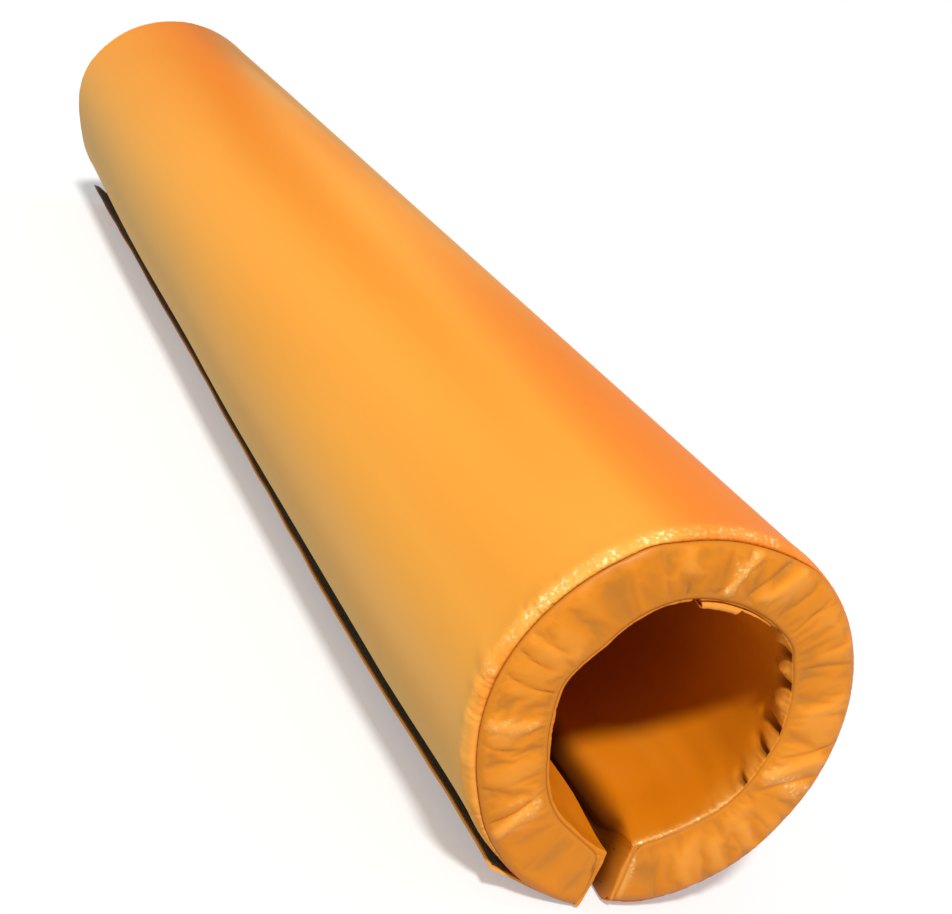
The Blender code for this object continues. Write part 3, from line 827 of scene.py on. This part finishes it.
def capSpot(u, share, end):
    cut = capCut
    seed = cut["seeds"][end]
    x1, z1 = rimEdge(u, end, 0.0005)
    turn = seamTurn(u)
    start = roundTube(turn, seamRadius(turn, end) + 0.0003, 0)
    x, z = mix(start.x, x1, share), mix(start.z, z1, share)
    turn, radius = aroundTube(x, z)
    fromSeam = seamRadius(turn, end) - radius
    # the nearer of the slit's edge and the bore's
    toBore = radius - rimRadius(turn, end)
    side = -1 if x < 0 else 1
    low, high = sectionAt(0.0, end)[side][:2]
    beside = side * x - abs(mix(low, high, clamp(z / 0.045)))
    toRim = softMin(toBore, beside, 0.004) if z < 0.07 else toBore
    fromRim = toRim - stripWidth(u, end)
    full = rimCut["lift"] + cut["crown"] * sin(pi * clamp(fromSeam / max(fromSeam + fromRim, 1e-6))) ** 0.8
    rise = (full + cut["edgeDrop"]) * (1 - exp(-max(fromSeam, 0) / 0.0026)) - cut["edgeDrop"]
    rise -= rimCut["dip"] * bump(max(fromRim, 0), 0, rimCut["dipWidth"])
    if share > 0.988:
        rise -= 0.0008 * (share - 0.988) / 0.012        # under the edge of the strip
    inside = clamp(fromSeam / 0.005) * clamp(fromRim / 0.004)
    arc = radians(turn) * 0.11
    nearEdge = exp(-max(fromSeam, 0) / 0.008) + 0.7 * exp(-max(fromRim, 0) / 0.007)
    broad = ripple(arc / 0.015, radius * 8, seed)
    valley = abs(ripple(arc / 0.020 + 0.5 * broad, radius * 10, seed + 1))     # sharp where it comes to nothing
    fine = ripple(arc / 0.0048, radius * 30, seed + 3)
    lively = clamp(0.9 + 1.3 * ripple(arc / 0.06, 0, seed + 2), 0.35, 1.6)
    lively *= mix(0.25, 1.0, (1 - fade(turn, 22, 48)) * fade(turn, 328, 350))      # smooth beside the slit
    folds = 0.9 * broad + 1.6 * min(valley, 0.35) - 0.3 + 0.7 * fine * nearEdge
    folds *= cut["pleatHeight"] * inside * lively
    if end < 0:
        folds += creaseRise(turn, radius) * clamp(fromSeam / 0.003) * clamp(fromRim / 0.003)
    else:
        folds += 0.0012 * ripple(arc / 0.021, radius * 8, seed + 4) * inside
    return Vector((x, end * (farFace + rise + folds), z)), folds, fromSeam, fromRim


def makeEndCap(label, end):
    cut = capCut
    width = hollow["length"]
    cap = cutFabric(f"{label}Cap", width, cut["width"], cut["columns"][end], len(cut["rings"]) - 1)
    facts = []

    def place(across, along):
        spot, folds, fromSeam, fromRim = capSpot(across, rowPlace(cut["rings"], along), end)
        facts.append((across, aroundTube(spot.x, spot.z)[0], folds, fromSeam, fromRim))
        return spot, (spot.x, spot.z), {}

    def tone(across, turn, folds, fromSeam, fromRim):
        # painted highlight on the folds' crests, painted shade in their valleys and along both seams (less of it at the
        # right of the near rim), and painted glints on some ridges and along the rim
        lessRimShade = 0.75 * bump(turn, 258, 40) * (end < 0)
        marks = {"paleToneAndHighlight": 0.1 + 0.6 * clamp(folds / 0.0014), "wearAndHighlight": 0.15 * clamp(folds / 0.0012 - 0.4),
                 "paintedShadeAndReflection": 0.8 * clamp(-folds / 0.0013),
                 "crinkle": 0.15 * bump(fromRim, 0.002, 0.003) + 0.15 * clamp(folds / 0.0012) + 0.02,
                 "paintedShade": 0.3 * bump(fromSeam, 0, 0.0007) + 0.5 * bump(fromRim, 0, 0.0006) * (1 - lessRimShade)}
        if end < 0:
            ridges = sum(strength * bump(turn, at, wide) for strength, at, wide in cut["paintedGlintShare"])
            marks["paintedGlint"] = 1.4 * ridges * clamp(folds / 0.0008 - 0.2)
            marks["paintedGlint"] += 0.7 * bump(across, 0.945, 0.014) * bump(fromRim, 0.002, 0.003)
            marks["wearAndHighlight"] += 0.5 * bump(across, 0.972, 0.022) * bump(fromRim, 0.0015, 0.002)
        return marks

    wrapFabric(cap, width, cut["width"], place, flip=end > 0)
    held = [max(1 - clamp(min(seam, rim) / 0.002 - 0.6), fade(min(u, 1 - u), 0.015, 0.05))
            for u, _, _, seam, rim in facts]
    calm = [1 - (throughPoints(cut["gathered"], turn) if end < 0 else 0.6) for _, turn, _, _, _ in facts]
    moves = [end * move.y for move in settleCloth(cap, held, calm)]
    usual = sum(moves) / len(moves)
    facts = [(u, turn, folds + move - usual, seam, rim) for (u, turn, folds, seam, rim), move in zip(facts, moves)]
    setMarks(cap.data, [tone(*fact) for fact in facts])
    finishFabric(cap, tube["fabric"], capFabric, "cover_fabric", [f"{label}_end_cap"])


makeEndCap("near", -1)
makeEndCap("far", 1)
print("end caps gathered in")


wallCut = {
    # rows from the seam with the cap, over the rim (to 0) and in (mm), at the near end and at the far one
    "near": [-1, -0.86, -0.72, -0.6, -0.49, -0.38, -0.27, -0.16, -0.07, 0, 1.2, 2.6, 4, 5.5, 7, 8.6, 10.4, 12.4, 14.6,
             17, 20, 23.5, 27.5, 32, 38, 45, 55, 70, 95, 135],
    "far": [-1, -0.8, -0.6, -0.45, -0.3, -0.15, 0, 2, 4, 6.5, 9.5, 13, 17, 22, 28, 36, 46, 62, 90, 135],
    "middleRows": 14,
    "leftSeam": 0.064,       # shares of the way round, where the lips are sewn to the lining
    "rightSeam": 0.956,
    # deep gathers inside the near rim: turn, depth, width in degrees, length, lean
    "scallops": [(215, 0.0026, 2.2, 0.014, 0.5), (231, 0.0050, 2.6, 0.022, 0.3), (245.5, 0.0050, 3.0, 0.024, 0.1),
                 (268, 0.0046, 3.0, 0.030, -0.2), (280, 0.0040, 2.8, 0.026, -0.3), (297, 0.0034, 2.4, 0.018, -0.4),
                 (170, 0.0070, 1.9, 0.012, 0.0)],
    # ridges between them, which catch the light: turn, height, width in degrees
    "ridges": [(200, 0.0018, 3.0), (208, 0.0030, 3.4), (222, 0.0034, 3.6), (238, 0.0046, 3.2), (255, 0.0040, 4.6),
               (274, 0.0016, 2.8), (289, 0.0012, 4.0)],
}


def wallRows():
    cut = wallCut
    near, far = ([(end, r if r <= 0 else r / 1000) for r in rows]
                 for end, rows in ((-1, cut["near"]), (1, cut["far"][::-1])))
    middle = spaced(near[-1][1], tube["length"] - far[0][1], cut["middleRows"])[1:-1]
    return near + [(-1, d) if d < farFace else (1, tube["length"] - d) for d in middle] + far


def boreTurn(u):
    # the turn, near enough, at a share of the way round the hollow
    _, b, c, _ = hollow["stations"]
    return mix(6, 353, (u - b) / (c - b))


def wallGather(u, way, end):
    # how far the fabric stands out of its smooth course: crests over the rim, pointed hollows behind it
    turn = boreTurn(u)
    arc = u * hollow["length"] / 0.0036
    seed = 61 if end < 0 else 71
    lively = clamp(0.7 + 1.2 * ripple(arc / 8, 0, seed + 3), 0.2, 1.4)
    if end < 0:
        lively *= 0.5 + 0.9 * bump(turn, 325, 40) + 0.4 * bump(turn, 250, 40)
    ridge = 0.4 - 1.8 * abs(ripple(arc, way * 60, seed)) + 0.5 * ripple(arc * 2.1, way * 120, seed + 1)
    rise = 0.00055 * ridge * lively * bump(way, 0.003, 0.006) * clamp(way / 0.0006)
    rise += 0.0007 * ripple(arc / 2.6, way * 20, seed + 2) * bump(way, 0.012, 0.012)
    if end < 0 and way < 0.03:
        for at, deep, wide, long, lean in wallCut["scallops"]:
            off = abs(turn - at - lean * way * 150) / wide
            if off < 3 and way < long:
                share = way / long
                rise -= deep * exp(-off ** 2 / (0.12 + 1.1 * share)) * fade(share, 0.45, 1.0) * clamp(way / 0.0012)
        for at, tall, wide in wallCut["ridges"]:      # these lean the more, and narrow, on their way in
            off = abs(turn - at - 90 * (way - 0.004)) / (wide * (1.25 - 30 * way))
            rise += tall * exp(-off ** 1.4) * bump(way, 0.009, 0.0075) * clamp((way - 0.002) / 0.003)
    return rise


def wallSurface(u, row, end):
    # the fabric of the lips and the lining as it lies, with its gathers and waves
    spot, normal, way = wallSpot(u, row, end)
    rise = wallGather(u, way, end) if way < 0.05 else 0.0
    inner = 1 - fade(way, 0.01, 0.06)
    sewn = min(abs(u - wallCut["leftSeam"]), abs(u - wallCut["rightSeam"])) * hollow["length"]
    if wallCut["leftSeam"] < u < wallCut["rightSeam"]:
        wave = 0.0011 * ripple(u * 20, spot.y * 9, 81) + 0.0008 * ripple(u * 45, spot.y * 22, 82)
    else:
        wave = 0.0006 * ripple(spot.y / 0.030, u * 40, 73)
    rise += (wave * clamp(sewn / 0.006) - 0.0004 * bump(sewn, 0, 0.0009)) * inner
    return spot + normal * rise, normal, way, rise


def makeWallPiece(name, node, first, last, columns, fabric, slot):
    rows = wallRows()
    width = (last - first) * hollow["length"]
    length = tube["length"] + 4 * rimCut["strip"]
    piece = cutFabric(name, width, length, columns, len(rows) - 1)

    def place(across, along):
        end, row = rows[round(along * (len(rows) - 1))]
        u = mix(first, last, across)
        spot, _, way, rise = wallSurface(u, row, end)
        near = end < 0
        turn = boreTurn(u)
        # painted light on the lining and lips: highlight on the rim's edge, the gathers' ridges and a knot, glints by
        # the lower right of the near rim, and painted shade along the seam, in the gathers' hollows, in the hole beside
        # the fold and deep in the slit
        edge = bump(way, 0.003, 0.004)
        glossy = near * (1 - fade(u, 0.76, 0.83)) * fade(u, 0.93, 0.96)
        seamLine = 0.45 * (1 - 0.75 * near * bump(turn, 258, 40))
        # painted shade: the hole beside the seam fold is drawn dark
        hole = near * 1.6 * bump(turn, 170, 2.2) * fade(way, 0.008, 0.014) * clamp((way - 0.003) / 0.001)
        # painted shade deep in the slit
        inSlit = (1 - fade(u, 0.898, 0.932)) * (1 - fade(way, 0.004, 0.028))
        gathers = near * bump(way, 0.006, 0.009) * fade(abs(u - 0.68), 0.10, 0.18)
        knot = near * 0.5 * bump(turn, 297, 4) * bump(way, 0.003, 0.005)
        paintedShade = seamLine * bump(way, 0, 0.0005) + 0.9 * inSlit + 0.6 * gathers * clamp(-rise / 0.002) + hole
        paintedGlint = glossy * bump(way, 0.0024, 0.0022) * clamp(0.8 + 1.5 * ripple(u * 60, 0, 113))
        marks = {"wearAndHighlight": 0.1 * edge + 0.1 * clamp(rise / 0.0008) + knot, "paintedShadeAndReflection": 0.5 * clamp(-rise / 0.003),
                 "paleToneAndHighlight": edge * (0.15 + 0.6 * glossy) + 0.8 * gathers, "crinkle": edge * (0.12 + 0.5 * glossy) + 0.02,
                 "paintedShade": paintedShade, "paintedGlint": paintedGlint}
        return spot, (across * width, spot.y), marks

    wrapFabric(piece, width, length, place, flip=True)
    finishFabric(piece, tube["fabric"], fabric, slot, [node])


for wallPiece in (
        ("leftLip", "left_lip_panel", 0, wallCut["leftSeam"], 34, capFabric, "cover_fabric"),
        ("innerLining", "inner_lining", wallCut["leftSeam"], wallCut["rightSeam"], 540, liningFabric, "lining_fabric"),
        ("rightLip", "right_lip_panel", wallCut["rightSeam"], 1, 24, capFabric, "cover_fabric")):
    makeWallPiece(*wallPiece)
print("lining and lips gathered at the rims")


foamCut = {
    "behindFabric": 0.0016,
    "endSetback": 0.0036,
    "clearOfGathers": 0.0062,      # further behind the lining near both ends, where it is gathered
    "slices": [0.0036, 0.006, 0.009, 0.013, 0.018, 0.026, 0.038, 0.055, 0.080, 0.3],
    "columns": 280,
    "edges": (0.0134, 0.0110),     # from the middle of the slit to the foam's outer corners
}


def makeFoamCore():
    cut = foamCut
    inset = cut["behindFabric"]
    slices = [(-1, s) for s in cut["slices"]] + [(1, s) for s in reversed(cut["slices"])]
    width = 2 * pi * (tube["outer"] + tube["bore"])
    core = cutFabric("foamCore", width, tube["length"], cut["columns"], len(slices) - 1)

    def place(across, along):
        end, behind = slices[round(along * (len(slices) - 1))]
        y = end * (farFace - behind)
        if across < 0.5 or across > 0.9999:     # round the outside, and back to where it starts
            turn = turnAt(across * 2 if across < 0.5 else 0, tube["outer"], cut["edges"])
            radius = skinProfile(turn, max(behind - inset, tube["seamBehindFace"]), end) - inset
            return roundTube(turn, radius, y), (0, 0), {}
        u = mix(0.995, 0.005, (across - 0.5) * 2)
        (x, z), (nx, nz) = wallSection(u, behind, end)
        back = inset + cut["clearOfGathers"] * fade(behind, 0.020, 0.050)
        return Vector((x - nx * back, y, max(z - nz * back, 0.004))), (0, 0), {}

    wrapFabric(core, width, tube["length"], place)
    # its long edges are joined, and each end is closed with one face
    pick(core)
    editing(True)
    bpy.ops.mesh.select_all(action="SELECT")
    bpy.ops.mesh.remove_doubles(threshold=0.00001)
    for end in (-1, 1):
        bpy.ops.mesh.select_all(action="DESELECT")
        editing(False)
        for vertex in core.data.vertices:
            vertex.select = abs(vertex.co.y - end * (farFace - cut["endSetback"])) < 1e-5
        editing(True)
        bpy.ops.mesh.select_mode(type="VERT")
        bpy.ops.mesh.edge_face_add()
    bpy.ops.mesh.select_all(action="SELECT")
    bpy.ops.mesh.normals_make_consistent(inside=False)
    editing(False)
    bpy.ops.object.shade_smooth_by_angle(angle=radians(35))
    declare(core, paddingFoam, "foam", ["foam_core"], "root")


makeFoamCore()
print("foam core cut")


flapCut = {
    "sewnEnd": 0.0241,
    "thickness": 0.0015,
    "nearSetback": 0.006,
    "nearSlant": 0.020,      # the near end is cut back towards the sewn edge
    "farSetback": 0.008,
    "farLift": 5.5,          # mm that the far end stands off the skin
    "webInner": 0.1334,      # from the tube's axis to the inner face of the part that runs up the side
    "freeEdge": 0.0395,      # past the middle of the tape
    "columns": 64,
    "rows": 190,
    "bendSpread": 0.006,
}
tapeCut = {
    "columns": 20,
    "rows": 150,
    "width": 0.050,
    "backing": 0.0005,
    "pile": 0.001,
    "selvedge": 0.0025,
    "endMargin": 0.0025,
    "hookShift": 0.0125,     # how far the hook tape lies up the side from the loop tape
    # from the tube's axis to the face that each tape is sewn to
    "hookLevel": 0.1331,
    "loopLevel": 0.1298,
}

tapeAngle = radians(tube["tapeTurn"])
tapeNormal = Vector((-sin(tapeAngle), 0, -cos(tapeAngle)))
tapeAlong = Vector((-cos(tapeAngle), 0, sin(tapeAngle)))
flapNear = nearFace + flapCut["nearSetback"]
flapFar = farFace - flapCut["farSetback"]
# the tape's plane, and where it comes down to the floor
webOuter = flapCut["webInner"] + flapCut["thickness"]
bendAlong = (webOuter * cos(tapeAngle) - tube["axisHeight"]) / sin(tapeAngle)
bendX = -(webOuter * sin(tapeAngle) + bendAlong * cos(tapeAngle))


def shiftOut(along, y, lift=True):
    # how far the flap stands out from the plane of the tape, or in where the side is pressed in
    deep = throughPoints(tube["lowSide"], y)
    deep = deep - flapCut["farLift"] * (1 - fade(y, 0.40, 0.70)) if lift else max(deep, 0)
    return -0.001 * deep * pressed(along)


def flapSurface(way, y):
    # a point on the outside of the flap: way runs from the sewn end, along the floor and up the side
    flatLength = flapCut["sewnEnd"] - bendX
    turnedUp = way - flatLength
    k = flapCut["bendSpread"]
    up = 0.5 * (turnedUp + sqrt(turnedUp ** 2 + k * k))      # a soft bend where the two planes meet
    flat = way - up
    spot = Vector((flapCut["sewnEnd"], y, 0)) + Vector((-1, 0, 0)) * flat + tapeAlong * up
    along = bendAlong + up
    wave = 0.0007 * ripple(y / 0.045, way * 20, 89) * clamp((way - 0.05) / 0.04)
    return spot + tapeNormal * (shiftOut(along, y) + wave)


def makeClosureFlap():
    cut = flapCut
    width = cut["sewnEnd"] - bendX + cut["freeEdge"] - bendAlong
    length = flapFar - flapNear
    flap = cutFabric("closureFlap", width, length, cut["columns"], cut["rows"])

    def place(across, along):
        way = across * width
        slant = cut["nearSlant"] * fade(way, 0.030, 0.062)
        y = flapNear + along * length + slant * (1 - along)
        spot = flapSurface(way, y)
        fromFree = width - way
        fromEnd = min(along, 1 - along) * length
        spot += tapeAlong * 0.0009 * ripple(y / 0.09, 0, 97) * clamp(1 - fromFree / 0.02)
        spot.z = max(spot.z, 0.0)
        edge = exp(-min(fromFree, fromEnd) / 0.002)
        # darker along the free edge, the more towards the far end
        freeEdgeDarkening = 0.7 * exp(-fromFree / 0.002) * clamp((y + 0.4) / 0.8)
        marks = {"paleToneAndHighlight": 0.3, "wearAndHighlight": 0.4 * edge, "paintedShadeAndReflection": 0.1, "crinkle": 0.1 * edge, "paintedShade": freeEdgeDarkening}
        return spot, (way, along * length), marks

    wrapFabric(flap, width, length, place)
    finishFabric(flap, cut["thickness"], skinFabric, "cover_fabric", ["closure_flap", "flap_sewn_edge"], None)
    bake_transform(flap)


def makeTapeStrip(kind, body, pile):
    # a strip with a raised pile between two flat selvedges; the hook tape faces in, and the loop tape out
    cut = tapeCut
    onFlap = body == "flap"
    outward = -1 if onFlap else 1
    length = flapFar - flapNear - 2 * cut["endMargin"]
    tape = cutFabric(kind + "Tape", cut["width"], length, cut["columns"], cut["rows"])

    def place(across, along):
        y = flapNear + cut["endMargin"] + along * length
        offset = (across - 0.5) * cut["width"]
        fromEdge = cut["width"] / 2 - abs(offset)
        rise = cut["backing"] + cut["pile"] * clamp((fromEdge - cut["selvedge"]) / 0.0009 + 0.5)
        rise += 0.00012 * ripple(offset / 0.003, y / 0.003, 101)
        at = cut["hookShift"] * onFlap + offset
        spot = tapeNormal * (cut[kind + "Level"] + outward * rise) + tapeAlong * at
        spot.z += tube["axisHeight"]
        spot.y = y
        spot += tapeNormal * shiftOut(at, y, onFlap)
        return spot, (across * cut["width"], along * length), {}

    wrapFabric(tape, cut["width"], length, place, flip=onFlap)
    finishFabric(tape, cut["backing"], pile, "closure_tape", [kind + "_tape"], body)


makeClosureFlap()
makeTapeStrip("hook", "flap", hookPile)
makeTapeStrip("loop", "root", loopPile)
print("flap and tapes made")


stitch = {
    "length": 0.0042,
    "pitch": 0.0055,
    "thickness": 0.00062,
    "sink": 0.0003,                    # how much deeper its two ends lie
    # places along the cap's seams, and the share of the way round that is left free beside the slit
    "capSteps": 900,
    "besideSlit": 0.012,
    # rows in the lips: share of the way round from the skin, and from the seam with the lining
    "lipSteps": 240,
    "lipOuter": 0.009,
    "lipInner": 0.006,
    "fromEndFace": 0.012,
    "tapeSteps": 120,
    "loopTapeLift": 0.0006,
    "fromFlapEnd": 0.004,
    "edgeSteps": 60,
    "edgeRows": (0.0151, 0.0211),      # x of the two rows through the flap's sewn edge
}


def makeStitch():
    # one stitch, thick in the middle and sinking at both needle holes
    bpy.ops.object.select_all(action="DESELECT")
    bpy.ops.mesh.primitive_uv_sphere_add(segments=6, ring_count=5, radius=0.5, rotation=(0, pi / 2, 0))
    one = bpy.context.active_object
    bpy.ops.object.transform_apply(rotation=True)
    editing(True)
    bpy.ops.transform.resize(value=(stitch["length"], stitch["thickness"], stitch["thickness"]))
    editing(False)
    for vertex in one.data.vertices:
        vertex.co.z -= stitch["sink"] * (2 * vertex.co.x / stitch["length"]) ** 4
    return one


oneStitch = makeStitch()


def sewRow(name, node, path, body="root"):
    # path is a list of (point, outward direction) along the seam
    points = [point for point, _ in path]
    reach = [0.0]
    for a, b in zip(points, points[1:]):
        reach.append(reach[-1] + (b - a).length)
    count = int(reach[-1] / stitch["pitch"])
    shape = [v.co.copy() for v in oneStitch.data.vertices]
    faces = [tuple(f.vertices) for f in oneStitch.data.polygons]
    corners, sides = [], []
    k = 0
    for number in range(count):
        at = (number + 0.5) * reach[-1] / count + 0.0004 * ripple(number * 0.7, 0, 103)
        while k < len(reach) - 2 and reach[k + 1] < at:
            k += 1
        t = (at - reach[k]) / max(reach[k + 1] - reach[k], 1e-9)
        middle = points[k].lerp(points[k + 1], clamp(t))
        ahead = (points[k + 1] - points[k]).normalized()
        out = (path[k][1] - ahead * ahead.dot(path[k][1])).normalized()
        turn = Matrix((ahead, out.cross(ahead), out)).transposed()
        base = len(corners)
        corners += [middle + turn @ c for c in shape]
        sides += [tuple(base + i for i in f) for f in faces]
    mesh = bpy.data.meshes.new(name)
    mesh.from_pydata(corners, [], sides)
    mesh.shade_smooth()
    declare(addObject(name, mesh), sewingThread, "thread", [node], body)


def capSeam(end, outside):
    path = []
    for u in spaced(stitch["besideSlit"], 1 - stitch["besideSlit"], stitch["capSteps"]):
        if outside:
            turn = seamTurn(u)
            spot = roundTube(turn, seamRadius(turn, end) - 0.0004, end * (farFace - capCut["edgeDrop"] + 0.0004))
        else:
            x, z = rimEdge(u, end)
            spot = Vector((x, end * (farFace + rimCut["lift"] - rimCut["dip"] + 0.0005), z))
        path.append((spot, Vector((0, end, 0))))
    return path


def lipSeam(u):
    path = []
    for y in spaced(nearFace + stitch["fromEndFace"], farFace - stitch["fromEndFace"], stitch["lipSteps"]):
        spot, normal, _, _ = wallSurface(u, farFace - abs(y), -1 if y < 0 else 1)
        path.append((spot + normal * 0.0001, normal))
    return path


def tapeSeam(at, onFlap):
    # along one edge of a tape: on the outside of the flap, or on the loop tape itself
    path = []
    for y in spaced(flapNear + stitch["fromFlapEnd"], flapFar - stitch["fromFlapEnd"], stitch["tapeSteps"]):
        if onFlap:
            spot = flapSurface(flapCut["sewnEnd"] - bendX + at - bendAlong, y)
        else:
            level = tapeCut["loopLevel"] + stitch["loopTapeLift"] + shiftOut(at, y, False)
            spot = tapeNormal * level + tapeAlong * at + Vector((0, y, tube["axisHeight"]))
        path.append((spot, tapeNormal))
    return path


def edgeSeam(x):
    start, stop = flapNear + flapCut["nearSlant"] + stitch["fromFlapEnd"], flapFar - stitch["fromFlapEnd"]
    return [(Vector((x, y, 0.0004)), Vector((0, 0, -1))) for y in spaced(start, stop, stitch["edgeSteps"])]


for end, label in ((-1, "near"), (1, "far")):
    sewRow(f"{label}OuterStitches", f"{label}_outer_seam_thread", capSeam(end, True))
    sewRow(f"{label}InnerStitches", f"{label}_inner_seam_thread", capSeam(end, False))
for label, place, u in (("left", "Outer", stitch["lipOuter"]),
                        ("left", "Inner", wallCut["leftSeam"] - stitch["lipInner"]),
                        ("right", "Inner", wallCut["rightSeam"] + stitch["lipInner"]),
                        ("right", "Outer", 1 - stitch["lipOuter"])):
    sewRow(f"{label}Lip{place}Stitches", f"{label}_lip_{place.lower()}_thread", lipSeam(u))
selvedgeMiddle = (tapeCut["width"] - tapeCut["selvedge"]) / 2
for place, at in (("Lower", -selvedgeMiddle), ("Upper", selvedgeMiddle)):
    sewRow(f"loopTape{place}Stitches", f"loop_tape_{place.lower()}_thread", tapeSeam(at, False))
    path = tapeSeam(tapeCut["hookShift"] + at, True)
    sewRow(f"hookTape{place}Stitches", f"hook_tape_{place.lower()}_thread", path, "flap")
for number, x in enumerate(stitch["edgeRows"], 1):
    sewRow(f"flapEdgeStitches{number}", f"flap_edge_thread_{number}", edgeSeam(x))
bpy.data.objects.remove(oneStitch, do_unlink=True)
print("seams sewn")


foldCut = {
    "start": 172.2,
    "end": 209,
    "columns": 110,
    "rows": 14,
    "width": 0.0165,
    "thickness": 0.0008,
    "drop": 0.0046,
    # how far it hangs at shares of its way round; it is pinched just past the middle
    "hang": [(0, 0.95), (0.1, 1.0), (0.44, 1.0), (0.50, 0.95), (0.535, 0.30), (0.58, 0.40), (0.75, 0.30), (0.9, 0.2),
             (1, 0.08)],
    # its section at shares of its width: how far it hangs, then metres forward of the end face
    "down": [(0, 0.0), (0.2, -0.02), (0.4, -0.42), (0.6, -0.85), (0.72, -1.0), (0.86, -0.97), (1, -0.80)],
    "forward": [(0, -0.0024), (0.2, 0.0004), (0.4, 0.0022), (0.6, 0.0020), (0.72, 0.0006), (0.86, -0.0030),
                (1, -0.0075)],
}


def makeSeamFold():
    # seam allowance that has come out inside the top of the near rim: forward, down and back under itself
    cut = foldCut
    length = radians(cut["end"] - cut["start"]) * tube["bore"]
    fold = cutFabric("seamFold", length, cut["width"], cut["columns"], cut["rows"])

    def place(across, along):
        turn = mix(cut["start"], cut["end"], across)
        hang = cut["drop"] * throughPoints(cut["hang"], across) * (1 + 0.06 * ripple(across * 9, 0, 108))
        radius = rimRadius(turn, -1) - 0.0008 + throughPoints(cut["down"], along) * hang
        radius += 0.00035 * ripple(across * 16, along * 3, 107)
        y = nearFace - throughPoints(cut["forward"], along) * mix(0.5, 1.0, clamp(hang / cut["drop"]))
        # painted highlight: the fold is drawn pale where it stands in the light
        marks = {"paleToneAndHighlight": 0.9, "wearAndHighlight": 0.35, "crinkle": 0.1}
        return roundTube(turn, radius, y), (across * length, along * cut["width"]), marks

    wrapFabric(fold, length, cut["width"], place, flip=True)
    finishFabric(fold, cut["thickness"], liningFabric, "lining_fabric", ["seam_allowance_fold"])


makeSeamFold()
print("seam allowance folded out")


studio = {
    "floorSize": 80.0,
    "floorHeight": -0.0003,
    "paper": 0.60,
    "paperGlow": 0.36,
    "skyLevel": 0.33,
    "keyToward": (-0.276, -0.551, 0.787),
    "keySpread": 7.0,
    "keyLevel": 1.0,
    # the camera, fitted to the photo
    "cameraAt": (-0.58905, -1.51726, 0.56228),
    "cameraRight": (0.88202, -0.35057, 0.31485),
    "cameraUp": (-0.15775, 0.40994, 0.89837),
    "lens": 64.94,
}


def seenRays(tree):
    # 1 for what the camera sees, also in a gloss or through something clear, and 0 for what only lights the pad
    path = addNode(tree, "LightPath").outputs
    seen = addNode(tree, "Math", {"operation": "ADD"}, {0: path["Is Camera Ray"], 1: path["Is Glossy Ray"]})
    return addNode(tree, "Math", {"operation": "ADD", "use_clamp": True}, {0: seen, 1: path["Is Transmission Ray"]})


def makeFloor():
    bpy.ops.object.select_all(action="DESELECT")
    bpy.ops.mesh.primitive_plane_add(size=studio["floorSize"], location=(0, 0, studio["floorHeight"]))
    floor = bpy.context.active_object
    floor.name = "floor"
    bpy.ops.object.transform_apply(location=True)
    made, tree = newMaterial("white studio paper")
    paper = addNode(tree, "BsdfDiffuse", {"Color": [studio["paper"]] * 3 + [1]})
    lift = addNode(tree, "Math", {"operation": "MULTIPLY", 1: studio["paperGlow"]}, {0: seenRays(tree)})
    glow = addNode(tree, "Emission", {"Color": (1, 1, 1, 1)}, {"Strength": lift})
    addNode(tree, "OutputMaterial", None, {"Surface": addNode(tree, "AddShader", None, {0: paper, 1: glow})})
    floor.data.materials.append(made)


def makeWorld():
    world = bpy.data.worlds.new("pale studio")
    bpy.context.scene.world = world
    world.use_nodes = True
    tree = world.node_tree
    tree.nodes.clear()
    level = addNode(tree, "MapRange", {"To Min": studio["skyLevel"], "To Max": 1.0}, {"Value": seenRays(tree)})
    sky = addNode(tree, "Background", {"Color": (1, 1, 1, 1)}, {"Strength": level})
    addNode(tree, "OutputWorld", None, {"Surface": sky})


def makeKeyLight():
    # one soft lamp, high on the left in front of the near end, which lights the whole length alike
    lamp = bpy.data.lights.new("key", "SUN")
    lamp.angle = radians(studio["keySpread"])
    lamp.energy = pi * studio["keyLevel"]
    holder = addObject("key", lamp)
    toward = Vector(studio["keyToward"]).normalized()
    holder.location = toward * 4
    holder.rotation_euler = toward.to_track_quat("Z", "Y").to_euler()


def makeCamera():
    right = Vector(studio["cameraRight"]).normalized()
    up = Vector(studio["cameraUp"])
    up = (up - right * up.dot(right)).normalized()
    camera = bpy.data.cameras.new("camera")
    camera.lens = studio["lens"]
    camera.sensor_width = 36
    camera.clip_start = 0.05
    camera.clip_end = 200
    holder = addObject("camera", camera)
    turned = Matrix((right, up, right.cross(up))).transposed().to_4x4()
    turned.translation = Vector(studio["cameraAt"])
    holder.matrix_world = turned
    bpy.context.scene.camera = holder


makeFloor()
makeWorld()
makeKeyLight()
makeCamera()
bpy.context.scene.view_settings.view_transform = "Standard"
print("floor, light and camera set")
